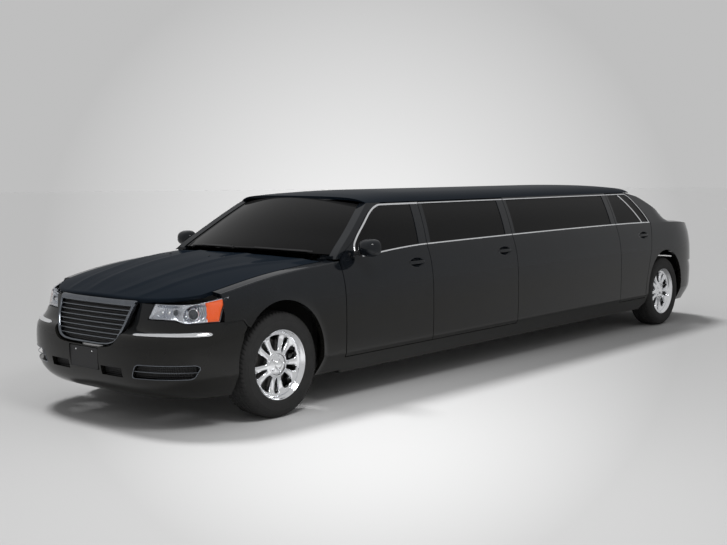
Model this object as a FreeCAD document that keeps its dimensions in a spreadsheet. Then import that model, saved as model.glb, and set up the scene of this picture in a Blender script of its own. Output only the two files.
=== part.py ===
# A six-door stretch limousine, modelled as an assembly of separate pieces with room for its real joints.
# Millimetres. X runs rearward, Y to the car's right and Z up; the origin is on the ground at mid-length.
import FreeCAD, Part
import Sketcher
import math
import os

Vector = FreeCAD.Vector
doc = FreeCAD.newDocument("StretchLimousine")

# Driving dimensions: one row for each, with its alias and its value in millimetres or degrees.
SIZES = [
    # Overall layout
    ("wheelbase", 5700), ("front_overhang", 925), ("rear_overhang", 1075), ("half_width", 950),
    ("sill_bottom", 210), ("crease_height", 365), ("crease_inset", 6), ("sill_tuck", 76),
    ("widest_height", 600), ("belt_half_width", 883), ("rail_height", 1404), ("rail_half_width", 680),
    ("glasshouse_bulge", 9), ("plan_power_tenths", 36),
    # Belt line heights from the nose to the tail
    ("shoulder_nose", 776), ("shoulder_lamp", 866), ("shoulder_axle", 950), ("belt_cowl", 1003),
    ("belt_door", 1073), ("belt_rear", 1096), ("belt_tail", 1030),
    # Shut lines, measured from the front axle or forward of the rear axle
    ("cowl_shut", 617), ("front_shut", 1637), ("second_shut", 2841), ("rear_shut_ahead", 1003),
    ("shut_gap", 8), ("pillar_lean", 130), ("door_bottom", 335),
    # Thicknesses and clearances
    ("door_thickness", 80), ("frame_thickness", 34), ("panel_thickness", 28), ("bumper_thickness", 55),
    ("glass_thickness", 4), ("glass_recess", 5), ("seat_gap", 0.3), ("fit_clearance", 0.05),
    ("roof_skin_share", 42), ("pillar_depth", 70), ("header_ease", 3),
    # Window openings
    ("frame_width", 48), ("belt_reveal", 12), ("window_below_rail", 20), ("glass_share", 401),
    # Wheels and tyres
    ("tyre_radius", 358), ("tyre_width", 235), ("rim_radius", 229), ("flange_radius", 243),
    ("rim_width", 206), ("half_track", 805), ("well_depth", 24), ("rim_wall", 9),
    ("hub_radius", 76), ("spoke_count", 10), ("spoke_face", 52), ("window_inner", 92), ("window_outer", 196),
    ("arch_radius", 390), ("arch_height", 408), ("arch_shift", 8), ("arch_foot_half", 387),
    # Running gear
    ("spindle_radius", 30), ("spindle_reach", 22), ("kingpin_inset", 105), ("kingpin_radius", 14),
    ("knuckle_height", 250), ("knuckle_width", 44), ("arm_thickness", 20), ("arm_width", 60),
    ("axle_tube_radius", 38), ("differential_radius", 115), ("shaft_radius", 32),
    # Underbody
    ("floor_bottom", 235), ("floor_thickness", 40), ("floor_half_width", 780), ("tunnel_half_width", 150),
    ("tunnel_top", 430), ("tunnel_wall", 30), ("boot_floor", 500), ("boot_floor_thickness", 35),
    ("sill_box_width", 70), ("sill_thickness", 60), ("rail_offset", 420), ("rail_width", 80),
    ("rail_bottom", 330), ("rail_depth", 110),
    # Engine, exhaust and cabin
    ("engine_length", 640), ("engine_width", 560), ("engine_depth", 400), ("pipe_radius", 28),
    ("pipe_height", 190), ("seat_width", 480), ("seat_height", 330), ("seat_back", 520),
    # Grille
    ("grille_half_width", 406), ("grille_top", 826), ("grille_bottom", 530), ("grille_depth", 30),
    ("grille_bow", 16), ("grille_frame", 18), ("grille_header", 34), ("bar_count", 7), ("bar_height", 6),
    ("bar_set_back", 4), ("bar_depth", 18),
    # Openings in the front bumper
    ("intake_low", 342), ("intake_high", 402), ("intake_inner", 178), ("intake_outer", 385),
    ("fog_depth", 34), ("lamp_margin", 4),
    # Door handles and mirrors
    ("handle_length", 170), ("handle_height", 70), ("handle_recess", 22), ("strap_height", 24),
    ("strap_thickness", 9), ("handle_level", 120), ("handle_setback", 170),
    ("mirror_width", 178), ("mirror_height", 128), ("mirror_depth", 95), ("mirror_station", 745),
    ("mirror_level", 1098), ("mirror_stub", 910),
    # Number-plate recesses and jacking pads
    ("plate_half_width", 158), ("plate_height", 154), ("plate_low_front", 360), ("plate_low_rear", 420),
    ("plate_set_back", 12), ("plate_hole_spacing", 178), ("plate_hole_radius", 3), ("plate_hole_depth", 30),
    ("plate_hole_rise", 124), ("pad_length", 80), ("pad_outer", 806), ("pad_inner", 781), ("pad_bottom", 200),
    ("pad_front_station", 800), ("pad_rear_ahead", 700),
    # Hinges
    ("hinge_setback", 130), ("hinge_line", 922), ("hinge_low", 480), ("hinge_high", 780), ("hinge_eye", 12),
    ("hinge_pin", 6), ("hinge_reach", 120), ("hinge_height", 40), ("hinge_room", 18),
    ("bonnet_hinge_station", 455), ("bonnet_hinge_level", 960), ("boot_hinge_station", 341),
    ("boot_hinge_level", 1060), ("lug_thickness", 15),
    # Nose and tail
    ("lamp_bottom", 705), ("lamp_depth", 62), ("lamp_inner_percent", 37), ("lamp_wrap_percent", 86),
    ("lamp_inner_low", 503), ("lamp_inner_lean", 32),
    ("support_station", -620), ("tail_station", 780), ("corner_seam", 575),
    ("tail_lamp_inner_percent", 57), ("tail_lamp_outer_percent", 72),
    ("bonnet_half_width", 793), ("bonnet_crown", 52), ("bonnet_thickness", 24),
    ("boot_half_width", 752), ("boot_tail_half_width", 664), ("boot_thickness", 26),
]

sheet = doc.addObject("Spreadsheet::Sheet", "Sizes")
for row, (alias, number) in enumerate(SIZES, start=1):
    sheet.set("A%d" % row, alias)
    sheet.set("B%d" % row, str(number))
    sheet.setAlias("B%d" % row, alias)
doc.recompute()


def size(alias):
    """The number that the sheet holds under this alias."""
    return float(sheet.get(alias))


# Stations along the car are counted from the front axle and moved into the frame here.
wheelbase = size("wheelbase")
overall_length = size("front_overhang") + wheelbase + size("rear_overhang")
axle_station = size("front_overhang") - overall_length / 2
FRONT_X = "(Sizes.front_overhang - Sizes.rear_overhang - Sizes.wheelbase) / 2"
REAR_X = "(Sizes.front_overhang - Sizes.rear_overhang + Sizes.wheelbase) / 2"
gap = size("shut_gap")
seat = size("seat_gap")


def place(x, y, z):
    """A point of the car, with x counted from the front axle."""
    return Vector(x + axle_station, y, z)


def smooth_curve(stations):
    """A monotone cubic through a few (position, value) pairs, flat beyond its ends' slopes."""
    xs = [s[0] for s in stations]
    ys = [s[1] for s in stations]
    slopes = [(ys[i + 1] - ys[i]) / (xs[i + 1] - xs[i]) for i in range(len(xs) - 1)]
    tangents = [slopes[0]]
    for left, right in zip(slopes, slopes[1:]):
        tangents.append(0.0 if left * right <= 0 else 2 * left * right / (left + right))
    tangents.append(slopes[-1])

    def value(x):
        if x <= xs[0]:
            return ys[0] + tangents[0] * (x - xs[0])
        if x >= xs[-1]:
            return ys[-1] + tangents[-1] * (x - xs[-1])
        i = max(k for k in range(len(xs) - 1) if xs[k] <= x)
        width = xs[i + 1] - xs[i]
        f = (x - xs[i]) / width
        return (ys[i] * (1 + 2 * f) * (1 - f) ** 2 + tangents[i] * width * f * (1 - f) ** 2
                + ys[i + 1] * f * f * (3 - 2 * f) + tangents[i + 1] * width * f * f * (f - 1))

    return value


# Surface of the body, as functions of the distance behind the front axle and the height.
front_nose = size("front_overhang")
rear_tail = size("rear_overhang")
plan_power = size("plan_power_tenths") / 10
belt_line = smooth_curve([
    (125 - front_nose, size("shoulder_nose")), (-480, size("shoulder_lamp")), (0, size("shoulder_axle")),
    (size("cowl_shut"), size("belt_cowl")), (size("front_shut"), size("belt_door")),
    (wheelbase - 1000, size("belt_rear")), (wheelbase + 310, size("belt_rear") - 16),
    (wheelbase + 945, size("belt_tail"))])


def plan_share(x):
    """How much of the full width is left at x, by a superellipse round the nose and the tail."""
    reach = -x / front_nose if x < 0 else (x - wheelbase) / rear_tail
    if reach <= 0:
        return 1.0
    return max(1 - reach ** plan_power, 0.0) ** (1 / plan_power)


def section(x, z):
    """Half-width of the full section at height z, before the nose and tail narrow it."""
    full = size("half_width")
    crease = size("crease_height")
    widest = size("widest_height")
    belt = belt_line(x)
    if z < crease:
        tuck = (crease - z) / (crease - size("sill_bottom"))
        return full - size("crease_inset") - size("sill_tuck") * tuck ** 1.15
    if z < widest:
        return full - size("crease_inset") * ((widest - z) / (widest - crease)) ** 2
    if z < belt:
        return full - (full - size("belt_half_width")) * ((z - widest) / (belt - widest)) ** 3.2
    rise = (z - belt) / (size("rail_height") - belt)
    inset = (size("belt_half_width") - size("rail_half_width")) * rise
    return size("belt_half_width") - inset + 4 * size("glasshouse_bulge") * rise * (1 - rise)


def side(x, z):
    """Half-width of the body's side at x and height z."""
    return section(x, z) * plan_share(x)


def interpolated(points, params):
    """A cubic through the points at the given parameters."""
    curve = Part.BSplineCurve()
    curve.interpolate(Points=points, Parameters=params)
    return curve


def even(count):
    """Evenly spaced numbers from 0 to 1."""
    return [i / (count - 1) for i in range(count)]


def grid_face(grid):
    """A face through a grid of points; its four borders depend on their own points only."""
    rows = [interpolated(row, even(len(row))) for row in grid]
    poles = [row.getPoles() for row in rows]
    columns = [interpolated([line[k] for line in poles], even(len(grid))) for k in range(len(poles[0]))]
    surface = Part.BSplineSurface()
    surface.buildFromPolesMultsKnots(
        [column.getPoles() for column in columns],
        rows[0].getMultiplicities(), columns[0].getMultiplicities(),
        rows[0].getKnots(), columns[0].getKnots(), False, False, rows[0].Degree, columns[0].Degree)
    return surface.toShape()


def closed_panel(outer, inner):
    """A solid panel between two stacks of point grids; neighbouring grids share a row."""
    faces = []
    for skin, lining in zip(outer, inner):
        faces.append(grid_face(skin))
        faces.append(grid_face(lining))
        faces.append(grid_face([[row[0] for row in skin], [row[0] for row in lining]]))
        faces.append(grid_face([[row[-1] for row in skin], [row[-1] for row in lining]]))
    faces.append(grid_face([outer[0][0], inner[0][0]]))
    faces.append(grid_face([outer[-1][-1], inner[-1][-1]]))
    shell = Part.makeShell(faces)
    shell.sewShape()
    solid = Part.makeSolid(shell.Shells[0])
    if solid.Volume < 0:
        solid.reverse()
    return solid


def offset_rows(grids, depths, inboard):
    """The same stack of grids, moved inward along the surface's own normal by a depth for each row."""
    rows = [grids[0][0]]
    for grid in grids:
        rows.extend(grid[1:])
    moved = []
    for j, row in enumerate(rows):
        below = rows[max(j - 1, 0)]
        above = rows[min(j + 1, len(rows) - 1)]
        line = []
        for i, point in enumerate(row):
            along = row[min(i + 1, len(row) - 1)].sub(row[max(i - 1, 0)])
            up = above[i].sub(below[i])
            normal = along.cross(up)
            normal.normalize()
            if normal.dot(inboard(point)) < 0:
                normal = normal.negative()
            depth = depths[j] if isinstance(depths, list) else depths
            line.append(point.add(normal.multiply(depth)))
        moved.append(line)
    stacked = []
    start = 0
    for grid in grids:
        stacked.append(moved[start:start + len(grid)])
        start += len(grid) - 1
    return stacked


def towards_middle(point):
    """Inboard and a little downward: the inner side of a left-hand body panel."""
    return Vector(0, 1, -0.3)


def downward(point):
    """The inner side of a panel that lies flat."""
    return Vector(0, 0, -1)


def side_grid(front, rear, heights, columns, set_in=0.0):
    """Points on the left side between two edges, one row for each height function."""
    grid = []
    for height in heights:
        start = front(height(front(600.0)))
        start = front(height(start))
        end = rear(height(rear(600.0)))
        end = rear(height(end))
        row = []
        for share in even(columns):
            x = start + (end - start) * share
            z = height(x)
            row.append(place(x, -side(x, z) + set_in, z))
        grid.append(row)
    return grid


def level(z):
    """A height that is the same all along the car."""
    return lambda x: z


def below_belt(share):
    """A height between the crease and the belt line."""
    return lambda x: size("crease_height") + (belt_line(x) - size("crease_height")) * share


def above_belt(share, top):
    """A height between the belt line and a level above it."""
    return lambda x: belt_line(x) + (top - belt_line(x)) * share


LOWER_SHARES = [0, 0.2, 0.38, 0.54, 0.68, 0.8, 0.9, 1]
UPPER_SHARES = even(7)


def side_bands(front, rear, bottom, top, columns):
    """The three grids of a full-height side panel: below the crease, up to the belt, up to the rail."""
    tuck = [level(bottom), level((bottom + size("crease_height")) / 2), level(size("crease_height"))]
    lower = [below_belt(share) for share in LOWER_SHARES]
    upper = [above_belt(share, top) for share in UPPER_SHARES]
    return [side_grid(front, rear, rows, columns) for rows in (tuck, lower, upper)]


def leaning(x):
    """A shut line that stands upright to the belt and leans back with the pillar above it."""
    def edge(z):
        belt = belt_line(x)
        rise = max(z - belt, 0.0) / (size("rail_height") - belt)
        return x + size("pillar_lean") * rise
    return edge


def shifted(edge, distance):
    """The same edge, moved along the car."""
    return lambda z: edge(z) + distance


def up_glass(height):
    """A height in the glasshouse, counted up from the belt at the cowl and stretched with the roof rail."""
    low = size("belt_cowl")
    return low + height * (size("rail_height") - low) / size("glass_share")


windscreen_edge = smooth_curve([(up_glass(17), 585), (up_glass(44), 614), (up_glass(197), 838),
                                (up_glass(327), 1032), (up_glass(401), 1150)])
door_front_edge = smooth_curve([
    (size("sill_bottom"), size("cowl_shut")), (960, size("cowl_shut")), (up_glass(2), size("cowl_shut") + 6),
    (up_glass(144), 838), (up_glass(267), 1012), (up_glass(335), 1118), (up_glass(377), 1215),
    (up_glass(401), 1320)])
door_rear_edge = smooth_curve([
    (size("sill_bottom"), wheelbase - 440), (408, wheelbase - 450), (600, wheelbase - 410),
    (800, wheelbase - 344), (950, wheelbase - 305), (up_glass(89), wheelbase - 258),
    (up_glass(177), wheelbase - 285), (up_glass(277), wheelbase - 340), (up_glass(347), wheelbase - 392),
    (up_glass(401), wheelbase - 450)])
pillar_rear_edge = smooth_curve([
    (up_glass(91), wheelbase + 230), (up_glass(147), wheelbase + 160), (up_glass(252), wheelbase - 35),
    (up_glass(357), wheelbase - 250), (up_glass(401), wheelbase - 360)])
front_shut = leaning(size("front_shut"))
second_shut = leaning(size("second_shut"))
rear_shut = leaning(wheelbase - size("rear_shut_ahead"))

nodes = {}


def keep(name, item):
    """Register an object of the document as the node of this name."""
    item.Label = name
    nodes[name] = item
    return item


def feature(name, shape):
    """A document object that holds a shape worked out above."""
    item = doc.addObject("Part::Feature", name)
    item.Shape = shape
    return item


def mirrored(name, source):
    """The right-hand copy of a left-hand piece."""
    twin = doc.addObject("Part::Mirroring", name)
    twin.Source = source
    twin.Normal = Vector(0, 1, 0)
    return keep(name, twin)


def block(name, x0, x1, y0, y1, z0, z1):
    """A box between two corners, each given as an expression on the sheet."""
    item = doc.addObject("Part::Box", name)
    item.setExpression("Length", "(%s) - (%s)" % (x1, x0))
    item.setExpression("Width", "(%s) - (%s)" % (y1, y0))
    item.setExpression("Height", "(%s) - (%s)" % (z1, z0))
    item.setExpression("Placement.Base.x", x0)
    item.setExpression("Placement.Base.y", y0)
    item.setExpression("Placement.Base.z", z0)
    return item


def rod(name, x, y, z, radius, length, direction):
    """A round bar from a start point along a direction."""
    item = doc.addObject("Part::Cylinder", name)
    item.Placement.Rotation = FreeCAD.Rotation(Vector(0, 0, 1), direction)
    item.setExpression("Radius", radius)
    item.setExpression("Height", length)
    item.setExpression("Placement.Base.x", x)
    item.setExpression("Placement.Base.y", y)
    item.setExpression("Placement.Base.z", z)
    return item


def joined(name, pieces):
    """One solid from pieces that overlap."""
    item = doc.addObject("Part::MultiFuse", name)
    item.Shapes = pieces
    return item


def carved(name, base, tool):
    """A piece with another one's space cut out of it."""
    item = doc.addObject("Part::Cut", name)
    item.Base = base
    item.Tool = tool
    return item


def wheel_well(station):
    """The opening over a wheel, through the left side: round above and straight-sided at its foot."""
    outboard = -size("half_width") - 60
    middle = station - size("arch_shift")
    top = Part.makeCylinder(size("arch_radius"), 420, place(middle, outboard, size("arch_height")),
                            Vector(0, 1, 0))
    half = size("arch_foot_half")
    return top.fuse(Part.makeBox(2 * half, 420, size("arch_height"), place(middle - half, outboard, 0)))


# Doors: each is one thick panel from the sill to the roof rail, with its window cut out.
DOOR_DEPTHS = ([size("door_thickness")] * 3 + [size("door_thickness")] * 5
               + [size("door_thickness") * 0.9, size("door_thickness") * 0.72]
               + [size("frame_thickness")] * (len(UPPER_SHARES) - 1))
door_top = size("rail_height") - gap


def window_cutter(front, rear, low, high, columns, margin):
    """A thin slab along the glass plane, used to cut a window or to make its pane."""
    depth_out = size("glass_recess") if margin else -30.0
    depth_in = depth_out + (size("glass_thickness") if margin else 30 + size("door_thickness") * 1.3)
    rows = [(lambda share: (lambda x: low(x) + margin + (high(x) - low(x) - 2 * margin) * share))(share)
            for share in UPPER_SHARES]
    skin = side_grid(shifted(front, margin), shifted(rear, -margin), rows, columns)
    outer = [[Vector(p.x, p.y + depth_out, p.z) for p in row] for row in skin]
    inner = [[Vector(p.x, p.y + depth_in, p.z) for p in row] for row in skin]
    return closed_panel([outer], [inner])


def belt_sill(x):
    """The lower edge of the side glass."""
    return belt_line(x) + size("belt_reveal")


def door_panel(front, rear, columns):
    """The whole door: its rear face slants so that it leaves the opening freely."""
    bands = side_bands(front, rear, size("door_bottom"), door_top, columns)
    inner = offset_rows(bands, DOOR_DEPTHS, towards_middle)
    slant = 0.36
    for band, skin in zip(inner, bands):
        for row, above in zip(band, skin):
            depth = abs(row[-1].y - above[-1].y)
            start = row[0].x
            width = row[-1].x - start
            for i, point in enumerate(row):
                row[i] = Vector(point.x - slant * depth * (point.x - start) / width, point.y, point.z)
    return closed_panel(bands, inner)


def handle_parts(x, z):
    """A door handle: an oval recess in the skin and the strap that bridges it."""
    y = -side(x, z)
    half_length = size("handle_length") / 2
    half_height = size("handle_height") / 2
    oval = Part.Ellipse(place(x + half_length, y - 20, z), place(x, y - 20, z + half_height),
                        place(x, y - 20, z))
    well = Part.Face(Part.Wire(oval.toShape())).extrude(Vector(0, 20 + size("handle_recess"), 0))
    strap = Part.makeBox(2 * half_length + 16, size("strap_thickness"), size("strap_height"),
                         place(x - half_length - 8, y + 1, z - size("strap_height") / 2))
    return well, strap


WINDOW_TOP = level(size("rail_height") - size("window_below_rail"))


def hinge_levels():
    """The middle heights of a door's two hinges."""
    return size("hinge_low"), size("hinge_high")


def hinge_arms(shut, root):
    """A door's two hinge arms: from the post inboard of the door, forward of it, round to the pin's eye."""
    axis_x = shut + size("hinge_setback")
    eye = size("hinge_eye")
    half = size("hinge_height") / 2
    arms = []
    for z in hinge_levels():
        inboard = size("hinge_line") - size("hinge_reach")
        reach = Part.makeBox(axis_x + eye - root, 30, 2 * half, place(root, -inboard - 10, z - half))
        across = Part.makeBox(2 * eye, size("hinge_reach") + 10, 2 * half,
                              place(axis_x - eye, -size("hinge_line"), z - half))
        ring = Part.makeCylinder(eye, 2 * half, place(axis_x, -size("hinge_line"), z - half))
        bore = Part.makeCylinder(size("hinge_pin") + size("fit_clearance"), 2 * half,
                                 place(axis_x, -size("hinge_line"), z - half))
        arms.append(reach.fuse([across, ring]).cut(bore))
    return arms


def hinge_seats(shut):
    """The pockets that a door needs round its two hinge arms, and the pins that stand in them."""
    axis_x = shut + size("hinge_setback")
    pockets = []
    pins = []
    for z in hinge_levels():
        half = size("hinge_height") / 2 + size("hinge_room")
        pockets.append(Part.makeBox(size("hinge_setback") + size("hinge_eye") + size("hinge_room"), 300, 2 * half,
                                    place(shut - 10, -size("hinge_line") - size("hinge_room"), z - half)))
        pins.append(Part.makeCylinder(size("hinge_pin"), 2 * half + 16,
                                      place(axis_x, -size("hinge_line"), z - half - 8)))
    return pockets, pins


def make_door(name, shut, front, rear, glass_front, glass_rear, columns, extra=()):
    """A left-hand door with its glass, and both pieces' right-hand twins."""
    panel = door_panel(front, rear, columns)
    pockets, pins = hinge_seats(shut)
    panel = panel.cut(pockets).fuse(pins)
    cutter = window_cutter(glass_front, glass_rear, belt_sill, WINDOW_TOP, columns, 0.0)
    pane = window_cutter(glass_front, glass_rear, belt_sill, WINDOW_TOP, columns, seat)
    panel = panel.cut(cutter)
    handle_x = rear(960.0) - size("handle_setback")
    well, strap = handle_parts(handle_x, belt_line(handle_x) - size("handle_level"))
    panel = panel.cut(well).fuse([strap, *extra])
    door = keep("door_%s_left" % name, feature("Door_%s" % name, panel))
    mirrored("door_%s_right" % name, door)
    glass = keep("glass_%s_left" % name, feature("Glass_%s" % name, pane))
    mirrored("glass_%s_right" % name, glass)


frame_width = size("frame_width")
front_window_edge = smooth_curve([
    (up_glass(57), 822), (up_glass(97), 828), (up_glass(144), 872), (up_glass(267), 1046), (up_glass(335), 1152),
    (up_glass(377), 1249), (up_glass(401), 1354)])
mirror_stub = Part.makeBox(60, 70, 40, place(size("mirror_station") - 5, -size("mirror_stub"),
                                             size("mirror_level") - 62))
make_door("front", size("cowl_shut"), shifted(door_front_edge, gap), shifted(front_shut, -gap / 2),
          front_window_edge,
          shifted(front_shut, -frame_width - 50), 14, extra=[mirror_stub])
make_door("second", size("front_shut"), shifted(front_shut, gap / 2), shifted(second_shut, -gap / 2),
          shifted(front_shut, frame_width), shifted(second_shut, -frame_width - 50), 14)
make_door("rear", wheelbase - size("rear_shut_ahead"), shifted(rear_shut, gap / 2), shifted(door_rear_edge, -gap),
          shifted(rear_shut, frame_width - 10), lambda z: door_rear_edge(z) - gap - 30, 14)


# Door mirrors: a rounded shell that stands off its foot on the front door.
def mirror_shell():
    """The left mirror's housing, rounded all over, with its glass side facing the rear."""
    shell = Part.makeBox(size("mirror_depth"), size("mirror_width"), size("mirror_height"),
                         place(size("mirror_station"), -size("mirror_stub") - seat - size("mirror_width"),
                               size("mirror_level") - size("mirror_height") / 2))
    front_edges = [edge for edge in shell.Edges
                   if edge.CenterOfMass.x < size("mirror_station") + axle_station + 1]
    return shell.makeFillet(size("mirror_height") * 0.36, front_edges)


mirror_left = keep("mirror_left", feature("Mirror", mirror_shell()))
mirrored("mirror_right", mirror_left)

# Body sides: sill, fixed centre panel with its window, rear quarter with the rear pillar, and posts.
rear_shut_x = wheelbase - size("rear_shut_ahead")
sill_top = size("door_bottom") - gap


def sill_panel(start, end, columns):
    """The painted sill under a run of doors, between two upright edges."""
    rows = [level(size("sill_bottom") + (sill_top - size("sill_bottom")) * share) for share in (0, 0.5, 1)]
    skin = side_grid(start, end, rows, columns)
    lining = [[Vector(p.x, p.y + size("sill_thickness"), p.z) for p in row] for row in skin]
    return closed_panel([skin], [lining])


def post(x, width):
    """An upright between two doors, inboard of them, leaning with the pillar above the belt."""
    inner = size("floor_half_width") - 45
    belt = belt_line(x)
    lean = size("pillar_lean")
    levels = [(x, inner, inner + 55, 290.0), (x, inner, inner + 55, belt - 30),
              (x + lean, size("rail_half_width") - 90, size("rail_half_width") - 44, size("rail_height") - 6)]
    wires = []
    for px, y0, y1, z in levels:
        corners = [place(px - width, -y0, z), place(px, -y0, z), place(px, -y1, z), place(px - width, -y1, z)]
        wires.append(Part.makePolygon(corners + corners[:1]))
    return Part.makeLoft(wires, True, True)


def quarter_front(z):
    """The quarter's front edge: it stands off a little more from the door above the belt."""
    return door_rear_edge(z) + 5 * min(max((z - 1000) / 90, 0), 1)


def quarter_panel():
    """The rear quarter: below the belt to the tail, above it up to the rear pillar's edge or the deck."""
    front = quarter_front
    tail = wheelbase + 792
    bottom = size("sill_bottom") + 22
    tuck = [level(bottom), level((bottom + size("crease_height")) / 2), level(size("crease_height"))]
    lower = [below_belt(share) for share in LOWER_SHARES]
    bands = [side_grid(front, level(tail), rows, 20) for rows in (tuck, lower)]
    pillar_top = up_glass(400)
    deck_start = wheelbase + 320
    end_height = smooth_curve([
        (wheelbase - 450, pillar_top), (wheelbase - 250, up_glass(357)), (wheelbase - 35, up_glass(252)),
        (wheelbase + 160, up_glass(147)), (wheelbase + 260, up_glass(103)), (deck_start, up_glass(91))])
    upper = []
    for share in UPPER_SHARES:
        row = []
        door_belt = belt_line(wheelbase - 258)
        start = front(door_belt + (pillar_top - door_belt) * share)
        for along in even(20):
            x = start + (tail - start) * along
            belt = belt_line(x)
            deck = belt + 14
            top = max(end_height(x), deck) if x < deck_start else deck
            blend = min(max((x - (wheelbase - 100)) / 420.0, 0.0), 1.0)
            blend = blend * blend * (3 - 2 * blend)
            z = belt + (top - belt) * share
            y_pillar = side(x, z)
            y_deck = (size("belt_half_width") - 123 * share) * plan_share(x)
            z_deck = belt + (deck - belt) * (1 - (1 - share) ** 2)
            z = z * (1 - blend) + max(z_deck, z if x < deck_start else z_deck) * blend
            row.append(place(x, -(y_pillar * (1 - blend) + y_deck * blend), z))
        upper.append(row)
    bands.append(upper)
    bands[2][0] = bands[1][-1]
    return closed_panel(bands, offset_rows(bands, 34.0, towards_middle))


def fixed_panel():
    """The long fixed panel between the second and the rear door, with its window opening."""
    front = shifted(second_shut, gap / 2)
    rear = shifted(rear_shut, -gap / 2)
    bands = side_bands(front, rear, size("sill_bottom"), size("rail_height") - seat, 22)
    depths = [60.0] * 8 + [50.0, 44.0] + [size("frame_thickness")] * (len(UPPER_SHARES) - 1)
    panel = closed_panel(bands, offset_rows(bands, depths, towards_middle))
    glass_front = shifted(second_shut, frame_width)
    glass_rear = shifted(rear_shut, -frame_width - 40)
    cutter = window_cutter(glass_front, glass_rear, belt_sill, WINDOW_TOP, 20, 0.0)
    pane = window_cutter(glass_front, glass_rear, belt_sill, WINDOW_TOP, 20, seat)
    return panel.cut(cutter), pane


def front_pillar():
    """The windscreen pillar, thick enough to reach from the door to the glass."""
    rows = [level(1024 + (size("rail_height") - seat - 1024) * share) for share in even(7)]
    skin = [side_grid(windscreen_edge, shifted(door_front_edge, 0.0), rows, 5)]
    inner = [[[Vector(p.x, p.y + size("pillar_depth"), p.z) for p in row] for row in skin[0]]]
    return closed_panel(skin, inner)


panel, fixed_pane = fixed_panel()
box_inner = size("floor_half_width")
sill_box = Part.makeBox(
    door_rear_edge(300.0) - 6 - (size("cowl_shut") + gap), size("sill_box_width"), sill_top - size("floor_bottom"),
    place(size("cowl_shut") + gap, -box_inner - size("sill_box_width"), size("floor_bottom")))
hinge_pillar = Part.makeBox(60, 55, 745, place(size("cowl_shut") - 70, -790, 285))
hinge_foot = Part.makeBox(130, 52, 80, place(size("cowl_shut") - 70, -box_inner - 52, 240))
pillar_link = Part.makeBox(34, 56, 60, place(size("cowl_shut") - 38, -794, 985))
pillar_foot = Part.makeBox(30, 86, 22, place(size("cowl_shut") - 34, -832, 1023))
jack_pads = [
    Part.makeBox(size("pad_length"), size("pad_outer") - size("pad_inner"), 40,
                 place(station, -size("pad_outer"), size("pad_bottom")))
    for station in (size("pad_front_station"), wheelbase - size("pad_rear_ahead"))]
left_side = panel.fuse(jack_pads + [
    sill_panel(level(size("cowl_shut") + seat), level(size("second_shut") + gap / 2), 12),
    sill_panel(level(rear_shut_x - gap / 2), shifted(door_rear_edge, -seat), 6),
    sill_box, post(size("front_shut") - 30, 50.0), post(rear_shut_x - 30, 50.0), front_pillar(),
    hinge_pillar, hinge_foot, pillar_link, pillar_foot]
    + hinge_arms(size("cowl_shut"), size("cowl_shut") - 50)
    + hinge_arms(size("front_shut"), size("front_shut") - 60)
    + hinge_arms(rear_shut_x, rear_shut_x - 60))
side_left = keep("body_side_left", feature("Body_side", left_side))
mirrored("body_side_right", side_left)
bumper_corner = Part.makeBox(400, 500, 500, place(wheelbase + size("corner_seam") - 5, -size("half_width") - 60, 151))
quarter = quarter_panel().cut([wheel_well(wheelbase), bumper_corner])
quarter_left = keep("rear_quarter_left", feature("Rear_quarter", quarter))
mirrored("rear_quarter_right", quarter_left)
fixed_glass = keep("glass_fixed_left", feature("Glass_fixed", fixed_pane))
mirrored("glass_fixed_right", fixed_glass)

# Front fenders, with the wheel opening cut and the rolled top that meets the bonnet.
def fender_panel():
    """The left front fender, from the lamp to the front door."""
    end = size("cowl_shut")
    start = lamp_end(900.0) + gap
    bottom = size("sill_bottom") + 22
    tuck = [level(bottom), level((bottom + size("crease_height")) / 2), level(size("crease_height"))]
    lower = [below_belt(share) for share in LOWER_SHARES]
    front = shifted(lamp_end, gap)
    bands = [side_grid(front, level(end), rows, 18) for rows in (tuck, lower)]
    for drop, rise in ((20, 6), (48, 11), (83, 14)):
        row = []
        for share in even(18):
            x = start + (end - start) * share
            y = (size("belt_half_width") - drop) * plan_share(x)
            row.append(place(x, -y, belt_line(x) + rise))
        bands[1].append(row)
    panel = closed_panel(bands, offset_rows(bands, size("panel_thickness"), towards_middle))
    below_lamp = Part.makeBox(610, 420, 520, place(-700, -size("half_width") - 60, size("lamp_bottom") - 515))
    return panel.cut(wheel_well(0.0)).cut(below_lamp)


# Bonnet form: its height and front edge, which the nose's pieces stop short of.
def bonnet_height(x, y):
    """Height of the bonnet's skin."""
    across = min(abs(y) / size("bonnet_half_width"), 1.0)
    crown = size("bonnet_crown") + 10 * min(max((x + 800) / 900, 0), 1)
    return belt_line(x) + 16 + crown * (1 - across ** 2.4)


def bonnet_front(y):
    """Where the bonnet's front edge lies at y."""
    y = min(abs(y), size("bonnet_half_width"))
    ratio = min(abs(y) / (size("bonnet_half_width") + 66), 1.0)
    return -(front_nose - 123) * (1 - ratio ** plan_power) ** (1 / plan_power)


# Nose: the bumper and the lamps follow one surface, set back more the higher it goes.
nose_line = smooth_curve([
    (size("sill_bottom"), 800), (255, 862), (310, 896), (400, 919), (490, front_nose), (560, 921),
    (610, 902), (640, 850), (700, 806), (780, 786), (860, 766)])


def front_point(share, z, set_back=0.0):
    """A point round the nose: share runs from -1 at the left wheel to 1 at the right one."""
    ratio = math.sin(abs(share) * math.radians(82))
    reach = nose_line(z) - set_back
    x = -reach * (1 - ratio ** plan_power) ** (1 / plan_power)
    y = section(0.0, z) * ratio
    return place(x, math.copysign(y, share), z)


def lamp_end(z):
    """Where the headlamp stops and the fender starts, behind the nose."""
    ratio = math.sin(size("lamp_wrap_percent") / 100 * math.radians(82))
    return -nose_line(max(min(z, 868.0), 640.0)) * (1 - ratio ** plan_power) ** (1 / plan_power)


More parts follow.
